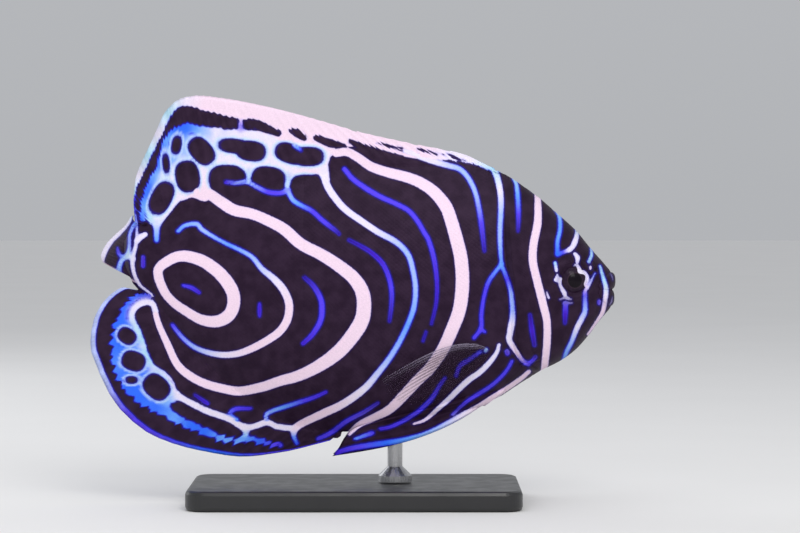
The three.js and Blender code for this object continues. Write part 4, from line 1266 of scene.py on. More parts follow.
@dataclass(frozen=True)
class HideFinish:
    """Skin, scales and dark fins: near black violet with the pale markings on it."""

    name: str = "fish_skin"
    dark: Triple = (0.015, 0.0065, 0.0175)
    light: Triple = (0.027, 0.0135, 0.031)
    border: Triple = (0.012, 0.008, 0.30)
    border_width: float = 0.42
    rim_blue: Triple = (0.03, 0.035, 0.78)
    rim_depth: float = 0.34
    rim_share: float = 0.85
    edge: float = 0.07
    ragged: float = 0.16
    ragged_size: float = 0.45
    mottle_size: float = 2.6
    mottle_edge: Pair = (0.3, 0.72)
    grain_size: float = 0.22
    speckle: Pair = (0.93, 1.04)
    bump_size: float = 0.3
    bump_depth: float = 0.02
    sheen: Triple = (0.8, 0.6, 0.9)
    roughness: float = 0.46
    specular: float = 0.16
    ray_light: float = 0.12
    ray_bright: float = 2.2

    def build(self) -> Material:
        """Make the material.

        Returns:
            The material.
        """
        s = Shader(self.name)
        wobble = s.node("Math", s.noise(self.ragged_size, 2), 0.5, operation="SUBTRACT")
        gap = s.node("Math", s.attribute("mark_gap"), s.product(wobble, self.ragged), operation="ADD")
        mottle = s.ramp(s.noise(self.mottle_size, 4), *self.mottle_edge)
        grain = s.noise(self.grain_size, 2)
        dark = s.mix(mottle, rgba(self.dark), rgba(self.light))
        rays = s.product(s.attribute("ray"), self.ray_light)
        dark = s.mix(rays, dark, rgba(self.light, self.ray_bright))
        strength = s.attribute("mark_tint", "Alpha")
        dark = s.mix(s.product(s.ramp(gap, self.border_width, 0.0), strength), dark, rgba(self.border))
        rim = s.product(s.ramp(gap, -self.rim_depth, 0.02, 0.0, self.rim_share), strength)
        tint = s.mix(rim, s.attribute("mark_tint", "Color"), rgba(self.rim_blue))
        speckle = s.ramp(grain, 0.25, 0.75, *self.speckle)
        tint = s.node("VectorMath", tint, speckle, operation="MULTIPLY")
        pale = s.ramp(gap, self.edge, -self.edge)
        s.set(
            Base_Color=s.mix(pale, dark, tint),
            Roughness=s.ramp(grain, 0.2, 0.8, self.roughness - 0.06, self.roughness + 0.1),
            Specular_IOR_Level=self.specular,
            Specular_Tint=rgba(self.sheen),
        )
        s.bump(s.noise(self.bump_size, 3), 0.5, self.bump_depth)
        return s.material


@dataclass(frozen=True)
class ClearFinFinish:
    """Clear fin membrane with dusky rays and a milky leading edge."""

    name: str = "clear_fin"
    dusk: Triple = (0.03, 0.018, 0.034)
    milk: Triple = (0.30, 0.26, 0.36)
    membrane: float = 0.05
    rays: float = 0.78
    ray_edge: Pair = (0.35, 0.85)
    break_size: float = 0.5

    def build(self) -> Material:
        """Make the material.

        Returns:
            The material.
        """
        s = Shader(self.name)
        ray = s.ramp(s.attribute("ray"), *self.ray_edge)
        broken = s.ramp(s.noise(self.break_size, 2), 0.3, 0.6, 0.6, 1.0)
        cover = s.ramp(s.product(ray, broken), 0, 1, self.membrane, self.rays)
        s.set(
            Base_Color=s.mix(s.attribute("lead"), rgba(self.dusk), rgba(self.milk)),
            Roughness=0.5,
            Specular_IOR_Level=0.04,
            Alpha=s.product(cover, s.attribute("cover")),
        )
        return s.material


@dataclass(frozen=True)
class EyeFinish:
    """A dark wet eye: black pupil, a near black iris and the pale marks that run onto it."""

    name: str = "fish_eye"
    pupil: Triple = (0.005, 0.0025, 0.006)
    iris: Triple = (0.016, 0.007, 0.0195)
    fleck: Triple = (0.027, 0.013, 0.032)
    ring: Triple = (0.034, 0.018, 0.03)
    pupil_edge: Pair = (0.46, 0.44)
    ring_inner: Pair = (0.44, 0.47)
    ring_outer: Pair = (0.52, 0.48)
    fleck_size: float = 0.5
    edge: float = 0.07

    def build(self) -> Material:
        """Make the material.

        Returns:
            The material.
        """
        s = Shader(self.name)
        away = s.attribute("away")
        flecks = s.ramp(s.noise(self.fleck_size, 4), 0.35, 0.75)
        iris = s.mix(flecks, rgba(self.iris), rgba(self.fleck))
        ring = s.product(s.ramp(away, *self.ring_inner), s.ramp(away, *self.ring_outer))
        colour = s.mix(ring, iris, rgba(self.ring))
        colour = s.mix(s.ramp(away, *self.pupil_edge), colour, rgba(self.pupil))
        pale = s.ramp(s.attribute("mark_gap"), self.edge, -self.edge)
        s.set(
            Base_Color=s.mix(pale, colour, s.attribute("mark_tint", "Color")),
            Roughness=0.3,
            Specular_IOR_Level=0.1,
            Coat_Weight=0.28,
            Coat_Roughness=0.04,
            Coat_IOR=1.25,
        )
        return s.material


@dataclass(frozen=True)
class PaintFinish:
    """Satin black paint on the base."""

    name: str = "base_paint"
    dark: Triple = (0.011, 0.011, 0.012)
    light: Triple = (0.02, 0.02, 0.021)
    cloud_size: float = 9
    wear_size: float = 4
    grain_size: float = 0.35

    def build(self) -> Material:
        """Make the material.

        Returns:
            The material.
        """
        s = Shader(self.name)
        cloud = s.noise(self.cloud_size, 4)
        s.set(
            Base_Color=s.mix(cloud, rgba(self.dark), rgba(self.light)),
            Roughness=s.ramp(s.noise(self.wear_size, 4), 0.3, 0.7, 0.34, 0.44),
            Specular_IOR_Level=0.5,
            Coat_Weight=0.15,
            Coat_Roughness=0.2,
        )
        s.bump(s.noise(self.grain_size, 2), 0.25, 0.03)
        return s.material


@dataclass(frozen=True)
class SteelFinish:
    """Brushed steel of the rod."""

    name: str = "rod_steel"
    colour: Triple = (0.52, 0.52, 0.53)
    line_size: float = 0.5
    line_stretch: Triple = (6, 6, 0.35)

    def build(self) -> Material:
        """Make the material.

        Returns:
            The material.
        """
        s = Shader(self.name)
        lines = s.noise(self.line_size, 4, self.line_stretch)
        s.set(
            Base_Color=s.mix(lines, rgba(self.colour, 0.82), rgba(self.colour)),
            Metallic=1.0,
            Roughness=s.ramp(lines, 0.25, 0.75, 0.24, 0.4),
        )
        s.bump(lines, 0.2, 0.02)
        return s.material


@dataclass(frozen=True)
class Skin:
    """One skin over the head, trunk, tail stalk, dorsal fin and anal fin."""

    flesh: Flesh
    spacing: Profile = Profile([
        (-44, 0.2), (-43, 0.12), (-36, 0.13), (-29, 0.22), (-22, 0.4), (34, 0.42), (38, 0.25), (50.4, 0.25),
    ])
    body_rows: int = 86
    fin_rows: int = 34
    inset: float = 0.1
    snout_reach: float = 1.45
    snout_shoulder: float = 0.68
    snout_flat: float = 0.95
    tail_reach: float = 3.0
    tail_taper: float = 0.5
    tail_round: float = 0.75
    tail_middle: float = 49.2
    mouth_level: float = 42.8
    cap_rows: int = 12

    def stations(self) -> Array:
        """Stations of the upright rows, closer where the fins fan out and on the face.

        Returns:
            The stations, from the tail forwards.
        """
        fine = np.linspace(self.flesh.tail_end, self.flesh.snout_end, 2000)
        count = np.concatenate([[0], np.cumsum(np.diff(fine) / self.spacing(fine[1:]))])
        return np.interp(np.linspace(0, count[-1], int(count[-1])), count, fine)

    def levels(self) -> Array:
        """Levels from the anal fin's margin over the flank to the dorsal fin's margin.

        Returns:
            The levels, beyond -1 and 1 on the fins.
        """
        body = np.sin(np.linspace(-np.pi / 2, np.pi / 2, self.body_rows))
        out = np.linspace(1, 2, self.fin_rows)[1:]
        return np.concatenate([-out[::-1], body, out])

    def build(self, markings: Markings) -> Object:
        """Build the skin with its markings.

        Args:
            markings: The markings to store on it.

        Returns:
            The skin.
        """
        place = self.flesh.surface(self.stations()[:, None], self.levels()[None, :])
        deep = ((place.kind == 0) & (place.half >= self.inset))[..., None]
        sides = [
            self.capped(np.where(deep, place.side(side, -self.inset), place.side(side)), side)
            for _, side in SIDES
        ]
        columns, rows = sides[0].shape[:2]
        points = np.concatenate([s.reshape(-1, 3) for s in sides])
        made = mesh_object("fish_skin", points, two_sheets(columns, rows))
        seen = [np.tile(line.ravel(), 2) for line in VIEW.project(*np.moveaxis(sides[0], -1, 0))]
        seen_x, seen_z = (line + shift for line, shift in zip(seen, self.on_both(*place.beyond)))
        x, z = left_warp(seen_x, seen_z, np.repeat([0, 1], columns * rows))
        paint(made.data, markings, x, z, self.on_both(place.kind, place.margin, place.crest, place.streak))
        close_mesh(made)
        return made

    def on_both(self, *grids: Array) -> Arrays:
        """Values of the rows, kept on over both caps, for the right side and then the left."""
        count = (self.cap_rows + 1,) + (1,) * (len(grids[0]) - 2) + (self.cap_rows + 1,)
        return tuple(np.tile(np.repeat(grid, count, axis=0).ravel(), 2) for grid in grids)

    def capped(self, points: Array, side: float) -> Array:
        """Add the rounded snout and the wedge over the root of the tail fin.

        Args:
            points: Grid of places of one side.
            side: 1 for the right side, -1 for the left.

        Returns:
            The grid with further columns at both ends.
        """
        mid_x, mid_y, heading = self.flesh.axis(self.flesh.tail_end)
        turn = np.array([-np.cos(heading), np.sin(heading), 0])
        square = side * np.array([-np.sin(heading), -np.cos(heading), 0])
        hind = points[0]
        half = (hind - np.array([mid_x, mid_y, 0])) @ square
        wedge = []
        for t in np.linspace(1, 0, self.cap_rows + 1)[:-1]:
            centre = hind - np.outer(half, square)
            centre[:, 2] = lerp(hind[:, 2], self.tail_middle, self.tail_taper * t)
            out = np.outer(half * (1 - t) ** self.tail_round, square)
            wedge.append(centre + turn * self.tail_reach * t + out)
        front = points[-1]
        middle = np.array([self.flesh.snout_end, 0, self.mouth_level])
        dome = []
        for t in np.linspace(0, 1, self.cap_rows + 1)[1:]:
            ring = middle + (front - middle) * ((1 - t) ** 2 + 2 * self.snout_shoulder * t * (1 - t))
            ring[:, 0] += min(self.snout_reach * t * (2 - t), self.snout_flat)
            dome.append(ring)
        return np.concatenate([np.array(wedge), points, np.array(dome)])


def left_warp(x: Array, z: Array, left: Array) -> Arrays:
    """Shift the left side's markings a little, since no fish has two equal sides.

    Args:
        x: The x of each place.
        z: Its z.
        left: 1 on the left side and 0 on the right.

    Returns:
        The shifted x and z.
    """
    (shift_x, length_x, start_x), (shift_z, length_z, start_z) = LEFT_SHIFT
    shifted_x = x + left * shift_x * np.sin(z / length_x + start_x)
    shifted_z = z + left * shift_z * np.sin(x / length_z + start_z)
    return shifted_x, shifted_z


@dataclass(frozen=True)
class Scale:
    """One scale: a rounded shield whose root is sunk and whose hind edge stands proud."""

    length: float = 1.4
    width: float = 1.2
    sides: int = 9
    inner: float = 0.62
    root_sink: float = 0.06
    lift: float = 0.07
    crown: float = 0.05
    thickness: float = 0.06
    narrowing: float = 0.12
    upper_patch: Pair = (-0.18, 0.6)
    under_patch: Pair = (0.62, 0.3)

    def lay(self, flat: Array, crown: float) -> Array:
        """Lift flat points onto the scale's slope, by its crown at the middle."""
        slope = (self.lift + self.root_sink) * (flat[:, 0] + 1) / 2
        return np.column_stack([flat, slope - self.root_sink + crown])

    def build(self) -> Object:
        """Build the scale for pitch 1, pointing along +X with its face up.

        Returns:
            The scale, which is removed once it has been spread.
        """
        angle = 2 * np.pi * np.arange(self.sides) / self.sides
        flat = np.stack([np.cos(angle), np.sin(angle) * (1 - self.narrowing * np.cos(angle))], -1)
        outer = self.lay(flat, 0)
        ring = self.lay(flat * self.inner, self.crown * (1 - self.inner**2))
        centre = self.lay(np.zeros((1, 2)), self.crown)
        under = np.array([[0, 0, -self.root_sink - self.thickness]])
        points = np.vstack([outer, ring, centre, under])
        points[:, 0] *= self.length / 2
        points[:, 1] *= self.width / 2
        n = self.sides
        faces = []
        for k in range(n):
            after = (k + 1) % n
            faces += [(k, after, n + after), (k, n + after, n + k)]
            faces += [(n + k, n + after, 2 * n), (after, k, 2 * n + 1)]
        made = mesh_object("scale_pattern", points, faces)
        mesh = made.data
        mesh.shade_smooth()
        sharp = mesh.attributes.new("sharp_edge", "BOOLEAN", "EDGE")
        rim = [max(e.vertices) < n for e in mesh.edges]
        sharp.data.foreach_set("value", rim)
        patch = mesh.uv_layers.new(name="OFBake")
        for loop in mesh.loops:
            x, y, _ = points[loop.vertex_index]
            below = mesh.polygons[loop.index // 3].vertices[2] == 2 * n + 1
            shift, size = self.under_patch if below else self.upper_patch
            patch.data[loop.index].uv = (shift + size * x / self.length, size * y / self.width)
        return made


class CoatTree:
    """The node tree that sets scales on points, one for each."""

    def __init__(self) -> None:
        """Build the tree."""
        self.tree = bpy.data.node_groups.new("scale_coat", "GeometryNodeTree")
        kinds = {
            "Points": "Geometry",
            "Scale shape": "Object",
            "Finish": "Material",
            "Turn jitter": "Float",
            "Size jitter": "Float",
            "Seed": "Int",
        }
        face = self.tree.interface
        self.sockets = {
            name: face.new_socket(name, in_out="INPUT", socket_type="NodeSocket" + kind).identifier
            for name, kind in kinds.items()
        }
        face.new_socket("Coat", in_out="OUTPUT", socket_type="NodeSocketGeometry")
        given = self.tree.nodes.new("NodeGroupInput").outputs
        turn, size = (
            self.node("GeometryNodeInputNamedAttribute", {"Name": name}, data_type="FLOAT_VECTOR")
            for name in ("turn", "size")
        )
        jitter = given["Turn jitter"]
        opposite = self.node("ShaderNodeMath", {0: jitter, 1: -1.0}, operation="MULTIPLY")
        spin = self.node("ShaderNodeCombineXYZ", {"Z": self.random(opposite, jitter, given["Seed"])})
        lie = self.node("FunctionNodeRotateEuler", {"Rotation": turn, "Rotate By": spin},
                        rotation_type="EULER", space="LOCAL")
        least, most = (
            self.node("ShaderNodeMath", {0: 1.0, 1: given["Size jitter"]}, operation=operation)
            for operation in ("SUBTRACT", "ADD")
        )
        factor = self.random(least, most, given["Seed"])
        grown = self.node("ShaderNodeVectorMath", {0: size, 1: factor}, operation="MULTIPLY")
        shape = self.node("GeometryNodeObjectInfo", {"Object": given["Scale shape"]}, "Geometry")
        spread = self.node("GeometryNodeInstanceOnPoints", {
            "Points": given["Points"], "Instance": shape, "Rotation": lie, "Scale": grown,
        })
        real = self.node("GeometryNodeRealizeInstances", {0: spread})
        coat = self.node("GeometryNodeSetMaterial", {"Geometry": real, "Material": given["Finish"]})
        join(self.tree, self.tree.nodes.new("NodeGroupOutput").inputs[0], coat)

    def node(
        self, kind: str, inputs: dict[str | int, object], out: int | str = 0, **settings: object,
    ) -> Socket:
        """Add a node.

        Args:
            kind: Its type.
            inputs: Socket or value for each input, by name or number.
            out: Output to return.
            settings: Properties of the node.

        Returns:
            The asked output socket.
        """
        made = self.tree.nodes.new(kind)
        for key, value in settings.items():
            setattr(made, key, value)
        for key, value in inputs.items():
            join(self.tree, made.inputs[key], value)
        return made.outputs[out]

    def random(self, least: Socket, most: Socket, seed: Socket) -> Socket:
        """A random number for each point."""
        inputs = {2: least, 3: most, "Seed": seed}
        return self.node("FunctionNodeRandomValue", inputs, 1, data_type="FLOAT")

    def apply(self, points: Object, **inputs: object) -> Object:
        """Spread the scales and keep them as a plain mesh.

        Args:
            points: The object whose vertices carry the scales; it is removed.
            inputs: Value of each named input, with underscores for spaces.

        Returns:
            The coat.
        """
        modifier = points.modifiers.new("coat", "NODES")
        modifier.node_group = self.tree
        for name, value in inputs.items():
            modifier[self.sockets[name.replace("_", " ")]] = value
        bpy.context.view_layer.update()
        graph = bpy.context.evaluated_depsgraph_get()
        grown = points.evaluated_get(graph)
        mesh = bpy.data.meshes.new_from_object(grown, preserve_all_data_layers=True, depsgraph=graph)
        made = bpy.data.objects.new(points.name.removesuffix("_points"), mesh)
        mesh.name = made.name
        bpy.context.scene.collection.objects.link(made)
        bpy.data.objects.remove(points)
        return made


@dataclass(frozen=True)
class Coat:
    """Scales of one stretch of one side, in upright rows set half a step apart."""

    flesh: Flesh
    name: str
    side: float
    first: float
    last: float
    pitch: float
    fin_share: float = 0.42
    row_step: float = 0.88
    row_gap: float = 0.2
    row_samples: int = 361
    bare_eye: float = 0.75
    bare_nostril: float = 0.45
    inset: float = 0.1
    fan: float = 2.2
    stretch: Pair = (0.75, 1.5)
    turn_jitter: float = 0.07
    size_jitter: float = 0.05
    seed: int = 7
    uv_start: float = 4
    uv_middle: Pair = (0.24, 0.74)
    uv_step: float = 0.005
    uv_patch: float = 0.003

    def column(self, station: float, odd: bool) -> Arrays:
        """Levels of the scales of one upright row.

        Args:
            station: Where the row crosses mid height.
            odd: Whether the row is shifted by half a step.

        Returns:
            Level of each scale and its distance along the skin from the widest level.
        """
        fine = np.linspace(-1 - self.fin_share, 1 + self.fin_share, self.row_samples)
        place = self.flesh.surface(station, fine)
        points = place.side(self.side)
        arc = np.concatenate([[0], np.cumsum(np.linalg.norm(np.diff(points, axis=0), axis=1))])
        arc -= np.interp(0, fine, arc)
        step = self.pitch * self.row_step
        index = np.arange(math.ceil(arc[0] / step), math.floor(arc[-1] / step) + 1) + (0.5 if odd else 0)
        run = index * step
        run = run[(run > arc[0] + self.row_gap) & (run < arc[-1] - self.row_gap)]
        return np.interp(run, arc, fine), run

    def roots(self) -> Arrays:
        """Station, level and distance from the widest level of every scale.

        Returns:
            The three of them, one value for each scale.
        """
        found = []
        half_step = self.pitch * 0.5
        for i, station in enumerate(np.arange(self.first, self.last, half_step)):
            level, run = self.column(station, bool(i % 2))
            found.append(np.stack([np.full(len(level), station), level, run]))
        station, level, run = np.concatenate(found, axis=1)
        place = self.flesh.surface(station, level)
        keep = (np.abs(level) <= 1) | (place.kind != 0)
        eye_x, eye_z = self.flesh.eye
        keep &= np.hypot(place.x - eye_x, place.z - eye_z) > self.flesh.eye_radius + self.bare_eye
        for nostril_x, nostril_z, radius in self.flesh.nostrils:
            keep &= np.hypot(place.x - nostril_x, place.z - nostril_z) > radius + self.bare_nostril
        return station[keep], level[keep], run[keep]

    def root(self, station: Array, level: Array) -> Array:
        """Places at which scales are rooted."""
        return self.flesh.surface(station, level).side(self.side, -self.inset)

    def frames(self, station: Array, level: Array) -> Arrays:
        """How each scale lies.

        Args:
            station: Station of each scale.
            level: Its level.

        Returns:
            Its root, its turn as XYZ Euler angles and its size.
        """
        reach, rise = 0.25, 0.004
        back = self.root(station - reach, level) - self.root(station + reach, level)
        step = np.linalg.norm(back, axis=1, keepdims=True) / (2 * reach)
        up = unit(self.root(station, level + rise) - self.root(station, level - rise))
        outward = np.sign(level)[:, None] * np.clip(np.abs(level) - 1, 0, 1)[:, None] * self.fan
        back = unit(unit(back) + outward * up)
        normal = unit(np.cross(back, up))
        normal *= np.sign((normal * np.array([0, -self.side, 0])).sum(1, keepdims=True))
        across = np.cross(normal, back)
        euler = np.stack([
            np.arctan2(across[:, 2], normal[:, 2]),
            -np.arcsin(np.clip(back[:, 2], -1, 1)),
            np.arctan2(back[:, 1], back[:, 0]),
        ], -1)
        size = self.pitch * np.clip(step, *self.stretch) * np.ones(3)
        return self.root(station, level), euler, size

    def points(self) -> dict[str, Array]:
        """What each scale's point carries, as (n, 3) vectors by name.

        Returns:
            The vectors.
        """
        station, level, run = self.roots()
        root, turn, size = self.frames(station, level)
        place = self.flesh.surface(station, level)
        seen_x, seen_z = left_warp(*place.seen(), float(self.side < 0))
        unwrap_x = self.uv_middle[self.side < 0] + (station - self.uv_start) * self.uv_step
        return {
            "turn": turn,
            "size": size,
            "root": root,
            "seen": np.stack([seen_x, place.margin, seen_z], -1),
            "unwrap": np.stack([unwrap_x, 0.5 + run * self.uv_step, np.zeros(len(run))], -1),
            "fin": np.stack([place.kind, place.crest, place.streak], -1),
        }

    def build(self, tree: CoatTree, scale: Object, finish: Material, markings: Markings) -> Object:
        """Spread the scales and paint them.

        Args:
            tree: The node tree that spreads them.
            scale: The single scale.
            finish: Their material.
            markings: The markings to store on them.

        Returns:
            The coat of this stretch.
        """
        vectors = self.points()
        carrier = mesh_object(self.name + "_points", vectors["root"], [])
        for name, values in vectors.items():
            set_attribute(carrier.data, name, values)
        coat = tree.apply(
            carrier, Scale_shape=scale, Finish=finish, Turn_jitter=self.turn_jitter,
            Size_jitter=self.size_jitter, Seed=int(self.seed + self.side),
        )
        mesh = coat.data
        kept = {name: read_all(mesh.attributes[name].data, "vector", 3) for name in vectors}
        away = places(mesh) - kept["root"]
        seen_x, margin, seen_z = kept["seen"].T
        kind, crest, streak = kept["fin"].T
        place = (np.round(kind), margin, crest, streak)
        paint(mesh, markings, seen_x + away[:, 0], seen_z + away[:, 2], place)
        corner = read_all(mesh.loops, "vertex_index", 1, np.int32)[:, 0]
        patch = mesh.uv_layers["OFBake"].data
        spot = read_all(patch, "uv", 2) * self.uv_patch + kept["unwrap"][corner][:, :2]
        patch.foreach_set("uv", spot.astype(np.float32).ravel())
        for name in vectors:
            mesh.attributes.remove(mesh.attributes[name])
        return coat


@dataclass(frozen=True)
class Blade:
    """A fin as one sheet with rays standing proud of its membrane."""

    name: str
    rays: int
    root_half: float
    centre: Callable[[Array, Array], Array]
    per_ray: int = 10
    rows: int = 44
    margin_half: float = 0.16
    taper: float = 1.4
    ridge: float = 0.11
    tip_free: float = 0.03
    branch: float = 0.0
    branch_from: Pair = (0.35, 0.8)
    branch_height: float = 0.5
    margin_round: float = 0.03
    edge_round: float = 0.4
    ridge_base: float = 0.3
    ridge_from: float = 0.2

    def build(self) -> tuple[Object, dict[str, Array]]:
        """Build the sheet.

        Returns:
            The fin, and its points with the share of its root, the share along its rays and the
            ray crest of each.
        """
        columns = self.rays * self.per_ray + 1
        share, along = np.meshgrid(np.linspace(0, 1, columns), np.linspace(0, 1, self.rows), indexing="ij")
        phase = share * self.rays - 0.5
        crest, fork = wave(phase) ** 2, wave(2 * phase) ** 2
        fork = fork * (np.abs(phase - np.round(phase)) < 0.5)
        branched = smoothstep(*self.branch_from, along) * self.branch
        crest = lerp(crest, np.maximum(self.branch_height * crest, fork), branched)
        middle = self.centre(share, along * (1 - self.tip_free * (1 - crest)))
        normal = np.cross(np.gradient(middle, axis=0), np.gradient(middle, axis=1))
        normal /= np.linalg.norm(normal, axis=-1, keepdims=True) + 1e-12
        half = lerp(self.margin_half, self.root_half, (1 - along) ** self.taper)
        half = half + self.ridge * (crest - self.ridge_base) * smoothstep(0, self.ridge_from, along)
        edge = np.minimum(share, 1 - share) * self.rays / self.edge_round
        rim = np.clip(np.minimum((1 - along) / self.margin_round, edge), 0, 1)
        off = normal * (half * np.sqrt(rim))[..., None]
        root = np.arange(columns - 1) * self.rows
        other = root + columns * self.rows
        close = np.stack([root, other, other + self.rows, root + self.rows], -1)
        points = np.concatenate([sheet.reshape(-1, 3) for sheet in (middle + off, middle - off)])
        made = mesh_object(self.name, points, np.vstack([two_sheets(columns, self.rows), close]))
        grids = {"share": share, "along": along, "crest": crest}
        return made, {"points": points, **{name: np.tile(grid.ravel(), 2) for name, grid in grids.items()}}


@dataclass(frozen=True)
class Caudal:
    """The tail fin, folded and swung to the left."""

    flesh: Flesh
    markings: Markings
    tips: tuple[tuple[float, float, float, float], ...] = (
        (0, -51.7, 13.6, 47.8), (0.2, -52.3, 14.8, 49.2), (0.4, -51.4, 15.4, 51.3),
        (0.6, -49.4, 15.8, 53.4), (0.8, -47.3, 15.9, 55.2), (1, -45.6, 15.6, 57.4),
    )
    root: Pair = (44.6, 55.6)
    bow: Pair = (0.45, 0.12)
    rise: float = 0.8
    rays: int = 17
    root_half: float = 0.9

    def centre(self, share: Array, along: Array) -> Array:
        """Middle of the sheet at a share of its root and of its rays.

        Args:
            share: Share of the fin's root.
            along: Share of the ray there.

        Returns:
            The (..., 3) places.
        """
        tip = np.stack([Profile([(r[0], r[k]) for r in self.tips])(share) for k in (1, 2, 3)], -1)
        mid_x, mid_y, heading = self.flesh.axis(self.flesh.tail_end)
        base = [np.full(share.shape, mid_x), np.full(share.shape, mid_y), lerp(*self.root, share)]
        base = np.stack(base, -1)
        turn = np.array([-np.cos(heading), np.sin(heading), 0])
        bow = lerp(*self.bow, share)[..., None]
        bent = base + turn * bow * np.linalg.norm(tip - base, axis=-1, keepdims=True)
        bent[..., 2] = lerp(base[..., 2], tip[..., 2], self.rise)
        t = along[..., None]
        return base * (1 - t) ** 2 + 2 * bent * t * (1 - t) + tip * t * t

    def build(self) -> Object:
        """Build and paint the tail fin.

        Returns:
            The tail fin.
        """
        blade = Blade("caudal_web", self.rays, self.root_half, self.centre, branch=0.7, ridge=0.05)
        made, at = blade.build()
        x, z = VIEW.project(*at["points"].T)
        gap, tint = self.markings.read(self.markings.lines, self.markings.blend, x, z)
        set_attribute(made.data, "mark_gap", gap)
        set_attribute(made.data, "mark_tint", tint)
        set_attribute(made.data, "ray", at["crest"])
        close_mesh(made)
        return made


@dataclass(frozen=True)
class PairedFin:
    """A fin of a pair, lying along the flank."""

    flesh: Flesh
    root: tuple[Pair, Pair]
    tips: tuple[Triple, ...]
    stand_off: Pair
    least_y: float = 0.0
    emerge: float = 0.25
    hug: float = 0.0
    bow: float = 0.0
    bow_lean: float = 1.0
    sink: float = 1.2
    sink_end: float = 6

    def centre(self, side: float, share: Array, along: Array) -> Array:
        """Middle of the sheet of one side at a share of its root and of its rays.

        Args:
            side: 1 for the right side, -1 for the left.
            share: Share of the fin's root.
            along: Share of the ray there.

        Returns:
            The (..., 3) places.
        """
        tip_x, tip_z = (Profile([(tip[0], tip[k]) for tip in self.tips])(share) for k in (1, 2))
        (front_x, front_z), (hind_x, hind_z) = self.root
        x = lerp(lerp(front_x, hind_x, share), tip_x, along)
        straight = lerp(lerp(front_z, hind_z, share), tip_z, along)
        z = straight - self.bow * (1 - share) * np.sin(np.pi * along**self.bow_lean)
        sunk = self.sink * np.maximum(0, 1 - along * self.sink_end)
        out = lerp(*self.stand_off, along) * (1 - self.hug * share) - sunk
        clear = np.where(z > self.flesh.belly(x), self.flesh.side_half(x, z), 0)
        least = self.least_y * smoothstep(0, self.emerge, along)
        return np.stack([x, -side * np.maximum(clear + out, least), z], -1)


@dataclass(frozen=True)
class Eye:
    """A flattened ball set in its socket, square to the flank there."""

    x: float = 43.1
    y: float = 4.35
    z: float = 44.7
    radius: float = 3.2
    half_depth: float = 2.4
    tilt: float = math.radians(14)
    cornea: float = 0.12
    cornea_radius: float = 0.42
    around: int = 64
    down: int = 40

    def build(self, name: str, side: float, markings: Markings) -> Object:
        """Build one eye.

        Args:
            name: Name of the piece.
            side: 1 for the right eye, -1 for the left.
            markings: The markings to store on it.

        Returns:
            The eye.
        """
        polar = np.linspace(0, np.pi, self.down)[:, None]
        turn = np.linspace(0, 2 * np.pi, self.around + 1)[None, :]
        away = np.sin(polar) * np.ones_like(turn)
        dome = np.exp(-((away / self.cornea_radius) ** 4)) * (np.cos(polar) > 0)
        out = np.cos(polar) * self.half_depth + self.cornea * dome
        across = self.radius * away * np.cos(turn)
        x = self.x + across * math.cos(self.tilt) + out * math.sin(self.tilt)
        y = self.y - across * math.sin(self.tilt) + out * math.cos(self.tilt)
        z = self.z + self.radius * away * np.sin(turn)
        points = np.stack([x, -y, z], -1).reshape(-1, 3)
        made = mesh_object(name, points * (1, side, 1), grid_faces(self.down, self.around + 1))
        set_attribute(made.data, "away", np.where(np.cos(polar) > 0, away, 2 - away).ravel())
        seen_x, seen_z = left_warp(*VIEW.project(*points.T), float(side < 0))
        paint(made.data, markings, seen_x, seen_z, off_fin(np.zeros(len(points))))
        close_mesh(made, 0.001)
        return made


def tube(
    name: str, path: Array, radii: Array, around: int, flat: float = 1.0, fullness: float = 2.0,
) -> Object:
    """A round closed tube along a path.

    Args:
        name: Name of the object.
        path: (n, 3) places along it.
        radii: (n,) radius at each.
        around: Points around it.
        flat: Factor on the radius square to the path's own plane.
        fullness: 2 for a round section, and more for a squarer one.

    Returns:
        The tube.
    """
    tangent = unit(np.gradient(path, axis=0))
    side = unit(np.cross(tangent, np.array([0, 0, 1.0])))
    top = np.cross(side, tangent)
    turn = np.linspace(0, 2 * np.pi, around + 1)
    out, rise = (np.sign(part) * np.abs(part) ** (2 / fullness) for part in (np.cos(turn), np.sin(turn)))
    ring = side[:, None] * out[None, :, None] + flat * top[:, None] * rise[None, :, None]
    points = path[:, None] + ring * radii[:, None, None]
    made = mesh_object(name, points.reshape(-1, 3), grid_faces(len(path), around + 1))
    close_mesh(made, 0.001)
    work = bmesh.new()
    work.from_mesh(made.data)
    bmesh.ops.holes_fill(work, edges=[e for e in work.edges if e.is_boundary])
    bmesh.ops.recalc_face_normals(work, faces=work.faces)
    work.to_mesh(made.data)
    work.free()
    return made


def smooth_path(knots: Array, count: int) -> Array:
    """Points along a smooth curve through the knots."""
    at, fine = np.linspace(0, 1, len(knots)), np.linspace(0, 1, count)
    return np.stack([Profile(list(zip(at, line)))(fine) for line in knots.T], -1)


